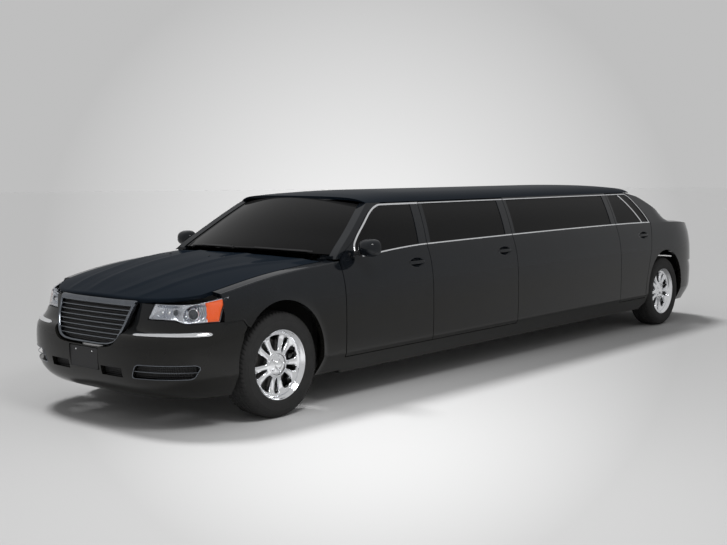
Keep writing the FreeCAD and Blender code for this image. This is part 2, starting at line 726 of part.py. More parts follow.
def nose_top(share):
    """The upper edge of the nose's pieces: a gap under the bonnet's lining."""
    at = front_point(share, 800)
    return bonnet_height(at.x - axle_station, at.y) - size("bonnet_thickness") - gap


def rearward(point):
    """Into the body from the nose."""
    return Vector(1, -point.y / 900, 0)


def nose_band(shares, levels, depth_out, depth_in):
    """A slab that follows the nose, between two depths under its surface."""
    skin = [[front_point(share, z) for share in shares] for z in levels]
    outer = [[p.add(rearward(p).multiply(depth_out)) for p in row] for row in skin]
    inner = [[p.add(rearward(p).multiply(depth_in)) for p in row] for row in skin]
    return closed_panel([outer], [inner])


def prism(corners, x0, x1):
    """A bar along the car whose outline across it is given as (y, z) corners."""
    points = [place(x0, y, z) for y, z in corners]
    return Part.Face(Part.makePolygon(points + points[:1])).extrude(Vector(x1 - x0, 0, 0))


def both_sides(shape):
    """A shape and its mirror image."""
    return [shape, shape.mirror(Vector(), Vector(0, 1, 0))]


# Grille outline: half-widths up its side, as shares of its greatest half-width and of its height.
GRILLE_SIDE = [(1.0, 1.0), (0.972, 0.80), (0.951, 0.70), (0.926, 0.53), (0.879, 0.35), (0.808, 0.175),
               (0.73, 0.075), (0.60, 0.02), (0.37, 0.0)]
grille_face = smooth_curve([(500, -902), (520, -897), (556, -890), (600, -880), (650, -866), (700, -850),
                            (750, -831), (800, -811), (830, -800)])


def grille_outline(inset, header):
    """The grille's outline across the car, drawn in all round by an inset and at its top by a header."""
    half = size("grille_half_width")
    tall = size("grille_top") - size("grille_bottom")
    side_run = [(half * share, tall * up) for share, up in GRILLE_SIDE]
    run = side_run + [(-y, z) for y, z in reversed(side_run)]
    points = []
    for k, (y, z) in enumerate(run):
        before = run[max(k - 1, 0)]
        after = run[min(k + 1, len(run) - 1)]
        dy = after[0] - before[0]
        dz = after[1] - before[1]
        reach = math.hypot(dy, dz)
        level_up = tall - header if k in (0, len(run) - 1) else z - inset * dy / reach
        points.append(Vector(0, y + inset * dz / reach, size("grille_bottom") + level_up))
    curve = Part.BSplineCurve()
    curve.interpolate(points)
    return Part.Face(Part.Wire([curve.toShape(), Part.makeLine(points[-1], points[0])]))


def grille_prism(inset, header):
    """The grille's outline, carried along the car through the nose."""
    face = grille_outline(inset, header)
    face.translate(place(-1000, 0, 0))
    return face.extrude(Vector(400, 0, 0))


def grille_slab(low, high, depth_out, depth_in, rows):
    """A slab along the grille's bowed, leaning face, between two depths behind it."""
    stacks = []
    for depth in (depth_out, depth_in):
        grid = []
        for up in even(rows):
            z = low + (high - low) * up
            row = []
            for share in even(13):
                y = (size("grille_half_width") + 20) * (2 * share - 1)
                bow = size("grille_bow") * (1 - (y / size("grille_half_width")) ** 2)
                row.append(place(grille_face(z) - bow + depth, y, z))
            grid.append(row)
        stacks.append([grid])
    return closed_panel(*stacks)


NOSE_LEVELS = [245, 280, 315, 355, 395, 435, 475, 515, 550, 580, 604, 622, 640, 672, 706, 740, 772]
LAMP_LOWER_EDGE = [(690, 713), (758, 693), (871, 701), (1010, 701)]


def lamp_room(margin):
    """The space of a headlamp as seen from in front, with a margin all round it."""
    lean = size("lamp_inner_lean") / 100
    inner = size("lamp_inner_low") - margin
    low = size("lamp_bottom") + 9 - margin
    edge = [(-y, z - margin) for y, z in LAMP_LOWER_EDGE]
    return prism([(-inner, low), *edge, (-1010, 1000), (-inner - lean * (1000 - low), 1000)], -1000, 100)


def fog_pocket():
    """The shallow pocket with rounded corners at each end of the bumper."""
    outline_corners = [(-470, 352), (-505, 428), (-530, 438), (-848, 440), (-862, 425), (-838, 362), (-820, 350),
                       (-480, 346)]
    band = nose_band([-0.98 + 0.68 * share for share in even(15)], [315, 355, 395, 435, 475], -25, size("fog_depth"))
    return prism(outline_corners, -1000, -300).common(band)


def front_bumper():
    """The painted front bumper: round the grille and the lamps, with its intake and its two pockets."""
    shares = [2 * share - 1 for share in even(49)]
    skin = [[front_point(s, size("sill_bottom")) for s in shares]]
    skin += [[front_point(s, z) for s in shares] for z in NOSE_LEVELS]
    skin.append([front_point(s, nose_top(s)) for s in shares])
    body = closed_panel([skin], offset_rows([skin], size("bumper_thickness"), rearward))
    half = size("grille_half_width") + gap
    mouth = Part.makeBox(300, 2 * half, 200, place(-1000, -half, size("grille_top") - 50))
    intake = prism([(-size("intake_inner"), size("intake_low")), (-size("intake_outer"), size("intake_low")),
                    (-size("intake_outer"), size("intake_high")), (-size("intake_inner"), size("intake_high"))],
                   -1000, -700)
    cuts = [grille_prism(-gap, -gap), mouth]
    for shape in (lamp_room(size("lamp_margin")), fog_pocket(), intake):
        cuts += both_sides(shape)
    return body.cut(cuts)


def lamp_block(sign):
    """A headlamp unit: a thick lens round the corner of the nose, with the foot that bolts to the support."""
    inner_end = size("lamp_inner_percent") / 100
    outer_end = size("lamp_wrap_percent") / 100
    skin = []
    for level_share in even(6):
        row = []
        for share in even(13):
            s = sign * (inner_end + (outer_end - inner_end) * share)
            low = size("lamp_bottom") - 30
            row.append(front_point(s, low + (nose_top(s) - low) * level_share))
        skin.append(row)
    lens = closed_panel([skin], offset_rows([skin], size("lamp_depth"), rearward))
    lens = lens.common(both_sides(lamp_room(0.0))[sign > 0])
    foot_y = 500 if sign > 0 else -620
    foot = Part.makeBox(80 - seat, 120, 60, place(size("support_station") - 80, foot_y, 720))
    return lens.fuse(foot)


def plate_cuts(overhang_x, outward, low):
    """A flat recess for a blank number plate and the two screw holes in its floor."""
    floor_x = overhang_x - outward * size("plate_set_back")
    recess = Part.makeBox(60, 2 * size("plate_half_width"), size("plate_height"),
                          place(floor_x if outward > 0 else floor_x - 60, -size("plate_half_width"), low))
    cuts = [recess]
    for sign in (-1, 1):
        start = place(floor_x + outward * 20, sign * size("plate_hole_spacing") / 2, low + size("plate_hole_rise"))
        cuts.append(Part.makeCylinder(size("plate_hole_radius"), size("plate_hole_depth") + 20, start,
                                      Vector(-outward, 0, 0)))
    return cuts


wells = [wheel_well(0.0), wheel_well(0.0).mirror(Vector(), Vector(0, 1, 0))]
front_cuts = plate_cuts(-front_nose, -1, size("plate_low_front"))
keep("front_bumper", feature("Front_bumper", front_bumper().cut(wells + front_cuts)))
fender_left = keep("fender_left", feature("Fender", fender_panel()))
mirrored("fender_right", fender_left)


# Bonnet: from the grille and lamps to the cowl, with a raised middle.
def bonnet_rear(y):
    """Where the bonnet's rear edge lies at y."""
    return 300 + 210 * (abs(y) / size("bonnet_half_width")) ** 2.2


def flat_panel(front, rear, height, half_width, columns, rows, thickness):
    """A panel that lies flat, between a front and a rear edge, the same depth all over."""
    skin = []
    for share in even(columns):
        y = half_width * (2 * share - 1)
        row = []
        for along in even(rows):
            x = front(y) + (rear(y) - front(y)) * along
            row.append(place(x, y * plan_share(x) if x < 0 else y, height(x, y)))
        skin.append(row)
    lining = [[Vector(p.x, p.y, p.z - thickness) for p in row] for row in skin]
    return closed_panel([skin], [lining])


half_bonnet = size("bonnet_half_width")
bonnet = flat_panel(bonnet_front, bonnet_rear, bonnet_height, half_bonnet, 25, 16, size("bonnet_thickness"))


def hinge_lugs(station, z, top, outer, pin_radius):
    """Two bored lugs under a lid, one a side."""
    width = size("lug_thickness")
    lugs = []
    for y in (-outer, outer - width):
        lug = Part.makeBox(2 * width, width, top - z + width, place(station - width, y, z - width))
        hole = Part.makeCylinder(pin_radius + size("fit_clearance"), width, place(station, y, z), Vector(0, 1, 0))
        lugs.append(lug.cut(hole))
    return lugs


bonnet_lugs = hinge_lugs(size("bonnet_hinge_station"), size("bonnet_hinge_level"), 1004, 705, size("hinge_pin"))
keep("bonnet", feature("Bonnet", bonnet.fuse(bonnet_lugs)))
keep("headlamps", feature("Headlamps", Part.makeCompound([lamp_block(-1), lamp_block(1)])))


# Roof, windscreen and rear window.
rail = size("rail_height")
roof_line = smooth_curve([(1030, rail + 51), (1300, rail + 72), (1800, rail + 86), (wheelbase - 1100, rail + 86),
                          (wheelbase - 580, rail + 78), (wheelbase - 270, rail + 57)])
roof_half = size("rail_half_width")


def roof_height(x, y):
    """Height of the roof's skin: nearly flat, falling quickly at its sides."""
    ratio = min(abs(y) / roof_half, 1.0)
    fall = 0.46 * ratio ** 2 + 0.54 * ratio ** 9
    return roof_line(x) - (roof_line(x) - size("rail_height")) * fall


def roof_front(y):
    """The header over the windscreen."""
    return 1030 + 120 * (abs(y) / roof_half) ** 2


def roof_rear(y):
    """The header over the rear window."""
    return wheelbase - 270 - 90 * (abs(y) / roof_half) ** 2


def roof_panel():
    """The roof, with its lining's edge level with the rail so that the doors' frames clear it."""
    skin = []
    lining = []
    spread = [math.sin(math.radians(90) * (2 * share - 1)) for share in even(27)]
    keep_share = 1 - size("roof_skin_share") / 100
    for ratio in spread:
        y = roof_half * ratio
        row = []
        under = []
        for along in even(24):
            x = roof_front(y) + (roof_rear(y) - roof_front(y)) * along
            z = roof_height(x, y)
            row.append(place(x, y, z))
            under.append(place(x, y * 0.948, size("rail_height") + (z - size("rail_height")) * keep_share))
        skin.append(row)
        lining.append(under)
    return closed_panel([skin], [lining])


keep("roof", feature("Roof", roof_panel()))


def pane(edge, bulge_low, bulge_high, columns):
    """A curved pane whose side edge runs up a pillar; it bulges out in the middle."""
    skin = []
    for up in even(7):
        x, y, z = edge(up)
        dx = bulge_low[0] + (bulge_high[0] - bulge_low[0]) * up
        dz = bulge_low[1] + (bulge_high[1] - bulge_low[1]) * up
        row = []
        for share in even(columns):
            across = 2 * share - 1
            crown = 1 - across ** 2
            row.append(place(x + dx * crown, y * across, z + dz * crown))
        skin.append(row)
    return closed_panel([skin], offset_rows([skin], size("glass_thickness") + 1, downward))


def windscreen_side(up):
    """A point up the windscreen's edge, beside the pillar's inner face."""
    z = up_glass(49 + 340 * up)
    x = windscreen_edge(z) + 12
    return x, side(x, z) - size("pillar_depth") - seat - 0.4, z


rear_window_half = smooth_curve([(up_glass(103), 722), (up_glass(147), 740), (up_glass(252), 728),
                                 (up_glass(357), 655), (up_glass(401), 622)])


def rear_window_side(up):
    """A point up the rear window's edge, inside the rear pillar."""
    z = up_glass(107 + 284 * up)
    return pillar_rear_edge(z) - 4, rear_window_half(z), z


keep("windscreen", feature("Windscreen", pane(windscreen_side, (-232, 28), (-116, 50), 15)))
header_reach = wheelbase - 270 + size("header_ease") - rear_window_side(1.0)[0]
keep("rear_window", feature("Rear_window", pane(rear_window_side, (66, 10), (header_reach, 56), 15)))


# Boot lid: the deck and the tail panel in one piece.
boot_path = [(wheelbase + 345, 1112), (wheelbase + 460, 1106), (wheelbase + 600, 1096),
             (wheelbase + 740, 1082), (wheelbase + 860, 1064), (wheelbase + 925, 1044),
             (wheelbase + 958, 1006), (wheelbase + 972, 950), (wheelbase + 986, 870),
             (wheelbase + 1000, 770), (wheelbase + 1008, 660)]


def boot_lid():
    """The lid follows the deck rearward and then drops to the bumper."""
    skin = []
    inner = []
    deck_half = size("boot_half_width")
    for share in even(21):
        across = 2 * share - 1
        row = []
        for x, z in boot_path:
            down = min(max((x - wheelbase - 740) / 220, 0), 1)
            half = deck_half * plan_share(x) * (1 - down) + size("boot_tail_half_width") * down
            y = half * across
            fall = 22 * across ** 2 if z > 1030 else 22 * across ** 2 * max((z - 900) / 130, 0)
            set_in = 46 * abs(across) ** 3.6 * min(max((x - wheelbase - 500) / 450, 0), 1)
            row.append(place(x - set_in, y, z - fall))
        skin.append(row)
    return closed_panel([skin], offset_rows([skin], size("boot_thickness"), lambda p: Vector(-1, 0, -1.2)))


boot_lugs = hinge_lugs(wheelbase + size("boot_hinge_station"), size("boot_hinge_level"), 1094, 515,
                       size("hinge_pin") - 2)
keep("boot_lid", feature("Boot_lid", boot_lid().fuse(boot_lugs)))

# Tail: bumper and lamps on one surface.
tail_line = smooth_curve([(235, 990), (300, 1038), (400, 1066), (500, rear_tail), (580, 1070), (615, 1052),
                          (640, 1024), (700, 1016), (800, 1008), (900, 996), (1000, 978)])


def rear_point(share, z):
    """A point round the tail: share runs from -1 at the left wheel to 1 at the right one."""
    ratio = math.sin(abs(share) * math.radians(80))
    x = wheelbase + tail_line(z) * (1 - ratio ** plan_power) ** (1 / plan_power)
    return place(x, math.copysign(section(wheelbase, z) * ratio, share), z)


def forward(point):
    """Into the body from the tail."""
    return Vector(-1, -point.y / 900, 0)


def rear_bumper():
    """The painted rear bumper."""
    shares = [2 * share - 1 for share in even(41)]
    skin = [[rear_point(s, 235 + (645 - 235) * up) for s in shares] for up in even(9)]
    body = closed_panel([skin], offset_rows([skin], size("bumper_thickness"), forward))
    ahead = Part.makeBox(500, 2400, 700, place(wheelbase + size("corner_seam") - 500, -1200, 0))
    return body.cut(ahead)


def tail_lamp(sign):
    """A tail-lamp unit beside the boot lid."""
    skin = []
    for up in even(6):
        first = size("tail_lamp_inner_percent") / 100
        last = size("tail_lamp_outer_percent") / 100
        skin.append([rear_point(sign * (first + (last - first) * share), 655 + 320 * up) for share in even(7)])
    lens = closed_panel([skin], offset_rows([skin], size("lamp_depth"), forward))
    foot_y = 650 if sign > 0 else -700
    foot = Part.makeBox(68, 50, 60, place(wheelbase + size("tail_station") + 25 + seat, foot_y, 700))
    return lens.fuse(foot)


rear_cuts = [wheel_well(wheelbase), wheel_well(wheelbase).mirror(Vector(), Vector(0, 1, 0))]
rear_cuts += plate_cuts(wheelbase + rear_tail, 1, size("plate_low_rear"))
keep("rear_bumper", feature("Rear_bumper", rear_bumper().cut(rear_cuts)))
keep("tail_lamps", feature("Tail_lamps", Part.makeCompound([tail_lamp(-1), tail_lamp(1)])))


# Wheels: turned rim and dished disc, with a ring of windows between the spokes.
def origin_part(body, role):
    """One of a body's own origin planes or axes."""
    return next(item for item in body.Origin.OriginFeatures if item.Role == role)


def outline(body, name, plane, corners):
    """A closed outline of straight lines whose corners are held by expressions on the sheet."""
    sketch = body.newObject("Sketcher::SketchObject", name)
    sketch.AttachmentSupport = [(origin_part(body, plane), "")]
    sketch.MapMode = "FlatFace"
    count = len(corners)
    ring = [Vector(100 * math.cos(2 * math.pi * k / count), 100 * math.sin(2 * math.pi * k / count), 0)
            for k in range(count)]
    for k in range(count):
        sketch.addGeometry(Part.LineSegment(ring[k], ring[(k + 1) % count]), False)
    for k in range(count):
        sketch.addConstraint(Sketcher.Constraint("Coincident", k, 2, (k + 1) % count, 1))
    for k, (across, up) in enumerate(corners):
        for kind, expression, start in (("DistanceX", across, ring[k].x), ("DistanceY", up, ring[k].y)):
            index = sketch.addConstraint(Sketcher.Constraint(kind, -1, 1, k, 1, start))
            sketch.setExpression("Constraints[%d]" % index, expression)
    return sketch


def turned(body, name, corners):
    """A piece turned about the body's Y axis from an outline of (distance outboard, radius) corners."""
    flipped = [("-(%s)" % out, radius) for out, radius in corners]
    sketch = outline(body, name + "_outline", "YZ_Plane", flipped)
    revolution = body.newObject("PartDesign::Revolution", name)
    revolution.Profile = sketch
    revolution.ReferenceAxis = (sketch, ["H_Axis"])
    revolution.Angle = 360
    return revolution


def at_wheel(body, station, side_sign):
    """Stand a wheel's body at its hub; the right-hand ones are turned round."""
    if side_sign > 0:
        body.Placement.Rotation = FreeCAD.Rotation(Vector(0, 0, 1), 180)
    body.setExpression("Placement.Base.x", station)
    body.setExpression("Placement.Base.y", "%sSizes.half_track" % ("" if side_sign > 0 else "-"))
    body.setExpression("Placement.Base.z", "Sizes.tyre_radius")


def make_wheel(name, station, side_sign):
    """A wheel with its rim, its spoked disc and the hub that turns on the spindle."""
    body = doc.addObject("PartDesign::Body", name)
    half = "Sizes.rim_width / 2"
    bore = "Sizes.spindle_radius + Sizes.fit_clearance"
    well = "Sizes.rim_radius - Sizes.well_depth"
    inner_well = well + " - Sizes.rim_wall"
    inner_seat = "Sizes.rim_radius - Sizes.rim_wall"
    turned(body, name + "_form", [
        ("-(%s) - 4" % half, "Sizes.flange_radius"), ("-(%s) + 4" % half, "Sizes.flange_radius"),
        ("-(%s) + 10" % half, "Sizes.rim_radius"), ("-60", "Sizes.rim_radius"), ("-46", well), ("0", well),
        ("16", "Sizes.rim_radius"), ("%s - 10" % half, "Sizes.rim_radius"),
        ("%s - 4" % half, "Sizes.flange_radius"), ("%s + 4" % half, "Sizes.flange_radius"),
        ("%s + 4" % half, "Sizes.flange_radius - 8"), ("%s - 8" % half, inner_seat + " + 3"),
        ("Sizes.spoke_face", "Sizes.window_outer + 12"), ("Sizes.spoke_face + 4", "Sizes.window_outer - 20"),
        ("Sizes.spoke_face + 20", "Sizes.hub_radius + 10"), ("Sizes.spoke_face + 26", "Sizes.hub_radius - 30"),
        ("Sizes.spoke_face + 28", "0"), ("Sizes.spindle_reach + 8", "0"), ("Sizes.spindle_reach + 8", bore),
        ("-55", bore), ("-55", "Sizes.hub_radius - 20"), ("Sizes.spoke_face - 34", "Sizes.hub_radius - 20"),
        ("Sizes.spoke_face - 30", "Sizes.window_outer - 30"), ("0", inner_well + " - 1"),
        ("-46", inner_well), ("-60", inner_seat), ("-(%s) + 6" % half, inner_seat),
        ("-(%s) - 4" % half, "Sizes.flange_radius - 12")])
    doc.recompute()
    inner_half = "Sizes.window_inner * tan(12)"
    outer_half = "Sizes.window_outer * tan(10.5)"
    windows = outline(body, name + "_window", "XZ_Plane", [
        ("-(%s)" % inner_half, "Sizes.window_inner"), (inner_half, "Sizes.window_inner"),
        (outer_half, "Sizes.window_outer"), ("-(%s)" % outer_half, "Sizes.window_outer")])
    pocket = body.newObject("PartDesign::Pocket", name + "_pocket")
    pocket.Profile = windows
    pocket.Midplane = True
    pocket.setExpression("Length", "Sizes.rim_width + 40")
    doc.recompute()
    pattern = body.newObject("PartDesign::PolarPattern", name + "_spokes")
    pattern.Originals = [pocket]
    pattern.Axis = (origin_part(body, "Y_Axis"), [""])
    pattern.Angle = 360
    pattern.setExpression("Occurrences", "Sizes.spoke_count")
    body.Tip = pattern
    at_wheel(body, station, side_sign)
    return keep(name, body)


def make_tyre(name, station, side_sign):
    """A tyre, round and plain, that grips the rim's two seats."""
    body = doc.addObject("PartDesign::Body", name)
    half = "Sizes.tyre_width / 2"
    bead = "Sizes.rim_radius + Sizes.seat_gap"
    wall = "(Sizes.tyre_radius - Sizes.rim_radius)"
    turned(body, name + "_form", [
        ("-(%s) + 28" % half, bead), ("-(%s)" % half, "Sizes.rim_radius + %s * 0.42" % wall),
        ("-(%s) + 6" % half, "Sizes.rim_radius + %s * 0.8" % wall), ("-(%s) + 26" % half, "Sizes.tyre_radius"),
        ("%s - 26" % half, "Sizes.tyre_radius"), ("%s - 6" % half, "Sizes.rim_radius + %s * 0.8" % wall),
        (half, "Sizes.rim_radius + %s * 0.42" % wall), ("%s - 28" % half, bead)])
    at_wheel(body, station, side_sign)
    return keep(name, body)


CORNERS = [("front_left", FRONT_X, -1), ("front_right", FRONT_X, 1),
           ("rear_left", REAR_X, -1), ("rear_right", REAR_X, 1)]
for corner, station, side_sign in CORNERS:
    make_wheel("wheel_" + corner, station, side_sign)
    make_tyre("tyre_" + corner, station, side_sign)

# Steering knuckles: an upright bored for the kingpin, with the spindle that carries the wheel.
KINGPIN_Y = "-(Sizes.half_track - Sizes.kingpin_inset)"
HUB = "Sizes.tyre_radius"
upright = block("Knuckle_upright", FRONT_X + " - 34", FRONT_X + " + 34",
                KINGPIN_Y + " - Sizes.knuckle_width / 2", KINGPIN_Y + " + Sizes.knuckle_width / 2",
                HUB + " - Sizes.knuckle_height / 2", HUB + " + Sizes.knuckle_height / 2")
spindle = rod("Knuckle_spindle", FRONT_X, KINGPIN_Y + " - Sizes.knuckle_width / 2 + 8", HUB,
              "Sizes.spindle_radius", "Sizes.kingpin_inset - Sizes.knuckle_width / 2 + 8 + Sizes.spindle_reach",
              Vector(0, -1, 0))
steering_arm = block("Knuckle_arm", FRONT_X + " + 20", FRONT_X + " + 150",
                     KINGPIN_Y + " - 4", KINGPIN_Y + " + 16", HUB + " - 92", HUB + " - 70")
bore = rod("Knuckle_bore", FRONT_X, KINGPIN_Y, HUB + " - Sizes.knuckle_height", "Sizes.kingpin_radius + Sizes.fit_clearance",
           "2 * Sizes.knuckle_height", Vector(0, 0, 1))
knuckle = carved("Knuckle", joined("Knuckle_form", [upright, spindle, steering_arm]), bore)
keep("knuckle_left", knuckle)
mirrored("knuckle_right", knuckle)

# Front frame: rails, crossmember, radiator support, bumper beam and the arms that hold the kingpins.
rail_in = "Sizes.rail_offset - Sizes.rail_width / 2"
rail_out = "Sizes.rail_offset + Sizes.rail_width / 2"
rail_top = "Sizes.rail_bottom + Sizes.rail_depth"
frame_parts = [
    block("Cross_member", FRONT_X + " - 90", FRONT_X + " + 90", "-(%s)" % rail_out, rail_out,
          "Sizes.rail_bottom - 60", "Sizes.rail_bottom + 10"),
    block("Support_low", FRONT_X + " + Sizes.support_station", FRONT_X + " + Sizes.support_station + 30",
          "-640", "640", "Sizes.rail_bottom", "Sizes.rail_bottom + 90"),
    block("Support_high", FRONT_X + " + Sizes.support_station", FRONT_X + " + Sizes.support_station + 30",
          "-640", "640", "690", "770"),
]
for k, (low, high) in enumerate((("-640", "-500"), ("500", "640"))):
    frame_parts.append(block("Support_side%d" % k, FRONT_X + " + Sizes.support_station",
                             FRONT_X + " + Sizes.support_station + 30", low, high, "Sizes.rail_bottom + 60", "720"))
for k, sign in enumerate(("-", "")):
    low, high = (("-(%s)" % rail_out, "-(%s)" % rail_in) if sign else (rail_in, rail_out))
    frame_parts.append(block("Rail%d" % k, FRONT_X + " - 820", FRONT_X + " + Sizes.cowl_shut - 120 - Sizes.seat_gap",
                             low, high, "Sizes.rail_bottom", rail_top))
    pin_y = sign + "(Sizes.half_track - Sizes.kingpin_inset)"
    arm_low = ("%s - 22" % pin_y if sign else "Sizes.rail_offset")
    arm_high = ("-Sizes.rail_offset" if sign else "%s + 22" % pin_y)
    tops = HUB + " + Sizes.knuckle_height / 2 + Sizes.seat_gap"
    feet = HUB + " - Sizes.knuckle_height / 2 - Sizes.seat_gap"
    frame_parts.append(block("Upper_arm%d" % k, FRONT_X + " - Sizes.arm_width / 2", FRONT_X + " + Sizes.arm_width / 2",
                             arm_low, arm_high, tops, tops + " + Sizes.arm_thickness"))
    frame_parts.append(block("Lower_arm%d" % k, FRONT_X + " - Sizes.arm_width / 2", FRONT_X + " + Sizes.arm_width / 2",
                             arm_low, arm_high, feet + " - Sizes.arm_thickness", feet))
    frame_parts.append(block("Arm_tower%d" % k, FRONT_X + " - 45", FRONT_X + " + 45", low, high,
                             feet + " - Sizes.arm_thickness", tops + " + Sizes.arm_thickness"))
    frame_parts.append(rod("Kingpin%d" % k, FRONT_X, pin_y, feet + " - Sizes.arm_thickness", "Sizes.kingpin_radius",
                           "Sizes.knuckle_height + 2 * Sizes.arm_thickness + 2 * Sizes.seat_gap", Vector(0, 0, 1)))
frame_parts.append(block("Bumper_beam", FRONT_X + " - Sizes.front_overhang + Sizes.bumper_thickness + 4.2",
                         FRONT_X + " - 790", "-240", "240", "450", "520"))
frame_parts.append(block("Bumper_bar", FRONT_X + " - 820", FRONT_X + " - 780", "-(%s)" % rail_out, rail_out,
                         "Sizes.rail_bottom + 60", "520"))
keep("front_frame", joined("Front_frame", frame_parts))
keep("engine_block", block(
    "Engine", FRONT_X + " - Sizes.engine_length / 2 - 10", FRONT_X + " + Sizes.engine_length / 2 - 10",
    "-Sizes.engine_width / 2", "Sizes.engine_width / 2",
    "Sizes.rail_bottom + 10 + Sizes.seat_gap", "Sizes.rail_bottom + 10 + Sizes.seat_gap + Sizes.engine_depth"))

# Floor: two pans, the tunnel between them, the rise over the rear axle and the boot floor.
floor_top = "Sizes.floor_bottom + Sizes.floor_thickness"
wide = "Sizes.floor_half_width - Sizes.seat_gap"
floor_start = FRONT_X + " + Sizes.cowl_shut - 70"
rise_x = REAR_X + " - 470"
boot_top = "Sizes.boot_floor + Sizes.boot_floor_thickness"
tail_x = REAR_X + " + Sizes.tail_station"
floor_parts = [
    block("Pan_left", floor_start, rise_x, "-(%s)" % wide, "-Sizes.tunnel_half_width + Sizes.tunnel_wall",
          "Sizes.floor_bottom", floor_top),
    block("Pan_right", floor_start, rise_x, "Sizes.tunnel_half_width - Sizes.tunnel_wall", wide,
          "Sizes.floor_bottom", floor_top),
    block("Tunnel_left", floor_start, rise_x, "-Sizes.tunnel_half_width", "-Sizes.tunnel_half_width + Sizes.tunnel_wall",
          "Sizes.floor_bottom", "Sizes.tunnel_top"),
    block("Tunnel_right", floor_start, rise_x, "Sizes.tunnel_half_width - Sizes.tunnel_wall", "Sizes.tunnel_half_width",
          "Sizes.floor_bottom", "Sizes.tunnel_top"),
    block("Tunnel_roof", floor_start, rise_x, "-Sizes.tunnel_half_width", "Sizes.tunnel_half_width",
          "Sizes.tunnel_top - Sizes.tunnel_wall", "Sizes.tunnel_top"),
    block("Rise_left", rise_x + " - 35", rise_x, "-620", "-Sizes.tunnel_half_width + Sizes.tunnel_wall",
          "Sizes.floor_bottom", boot_top),
    block("Rise_right", rise_x + " - 35", rise_x, "Sizes.tunnel_half_width - Sizes.tunnel_wall", "620",
          "Sizes.floor_bottom", boot_top),
    block("Rise_top", rise_x + " - 35", rise_x, "-200", "200", "Sizes.tunnel_top - Sizes.tunnel_wall", boot_top),
    block("Boot_floor", rise_x + " - 35", tail_x, "-620", "620", "Sizes.boot_floor", boot_top),
    block("Tail_wall", tail_x, tail_x + " + 25", "-700", "700", "Sizes.boot_floor", "640"),
    block("Tail_post_left", tail_x, tail_x + " + 25", "-705", "-640", "600", "780"),
    block("Tail_post_right", tail_x, tail_x + " + 25", "640", "705", "600", "780"),
    block("Rear_wall", rise_x + " - 35", rise_x, "-620", "620", "Sizes.boot_floor", "1070"),
    block("Shelf", rise_x + " - 35", REAR_X + " + 284", "-620", "620", "1050", "1072"),
    block("Shelf_lip", REAR_X + " + 270", REAR_X + " + 282", "-150", "150", "1060", "1100"),
    block("Tail_beam", tail_x + " + 10", REAR_X + " + Sizes.rear_overhang - Sizes.bumper_thickness - 3.8",
          "-240", "240", "Sizes.boot_floor", "Sizes.boot_floor + 60"),
]
for k, (low, high, pin_start) in enumerate((("-527", "-515.5", "-527"), ("515.5", "527", "500"))):
    floor_parts.append(block("Boot_bracket%d" % k, REAR_X + " + 260", REAR_X + " + Sizes.boot_hinge_station + 12",
                             low, high, "Sizes.boot_hinge_level - 9", "Sizes.boot_hinge_level + 6"))
    floor_parts.append(rod("Boot_pin%d" % k, REAR_X + " + Sizes.boot_hinge_station", pin_start,
                           "Sizes.boot_hinge_level", "Sizes.hinge_pin - 2", "27", Vector(0, 1, 0)))
keep("floor_pan", joined("Floor_pan", floor_parts))

# Bulkhead and scuttle in front of the cabin.
wall_start = FRONT_X + " + Sizes.cowl_shut - 120"
wall_end = FRONT_X + " + Sizes.cowl_shut - 70 - Sizes.seat_gap"
bulkhead_parts = [
    block("Bulkhead_left", wall_start, wall_end, "-730", "-115", "Sizes.floor_bottom", "930"),
    block("Bulkhead_right", wall_start, wall_end, "115", "730", "Sizes.floor_bottom", "930"),
    block("Bulkhead_middle", wall_start, wall_end, "-200", "200", "Sizes.tunnel_top - Sizes.tunnel_wall", "930"),
    block("Scuttle", FRONT_X + " + Sizes.cowl_shut - 200", wall_end, "-730", "730", "900", "930"),
]
for k, (low, high, pin_start) in enumerate((("-717", "-705.5", "-717"), ("705.5", "717", "688"))):
    bulkhead_parts.append(block("Bonnet_bracket%d" % k, FRONT_X + " + Sizes.bonnet_hinge_station - 15",
                                FRONT_X + " + Sizes.bonnet_hinge_station + 15", low, high, "920",
                                "Sizes.bonnet_hinge_level + 14"))
    bulkhead_parts.append(rod("Bonnet_pin%d" % k, FRONT_X + " + Sizes.bonnet_hinge_station", pin_start,
                              "Sizes.bonnet_hinge_level", "Sizes.hinge_pin", "29", Vector(0, 1, 0)))
keep("bulkhead", joined("Bulkhead", bulkhead_parts))

# Driveline, rear axle and exhaust.
shaft_start = FRONT_X + " + 900"
diff_front = REAR_X + " - Sizes.differential_radius"
keep("gearbox_and_shaft", joined("Gearbox_and_shaft", [
    block("Gearbox", FRONT_X + " + Sizes.engine_length / 2 - 10 + Sizes.seat_gap", FRONT_X + " + 940",
          "-105", "105", "Sizes.floor_bottom + 10", "Sizes.tunnel_top - Sizes.tunnel_wall - 15"),
    rod("Propeller_shaft", shaft_start, "0", "Sizes.tyre_radius - 30", "Sizes.shaft_radius",
        "Sizes.wheelbase - 900 - Sizes.differential_radius - 20", Vector(1, 0, 0))]))
differential = doc.addObject("Part::Sphere", "Differential")
differential.setExpression("Radius", "Sizes.differential_radius")
differential.setExpression("Placement.Base.x", REAR_X)
differential.setExpression("Placement.Base.z", HUB)
axle_parts = [
    differential,
    rod("Pinion_nose", diff_front + " - 20 + Sizes.seat_gap", "0", HUB + " - 30", "50", "80", Vector(1, 0, 0)),
    rod("Axle_tube", REAR_X, "-(Sizes.half_track - 110)", HUB, "Sizes.axle_tube_radius",
        "2 * (Sizes.half_track - 110)", Vector(0, 1, 0)),
    rod("Axle_spindles", REAR_X, "-(Sizes.half_track + Sizes.spindle_reach)", HUB, "Sizes.spindle_radius",
        "2 * (Sizes.half_track + Sizes.spindle_reach)", Vector(0, 1, 0)),
]
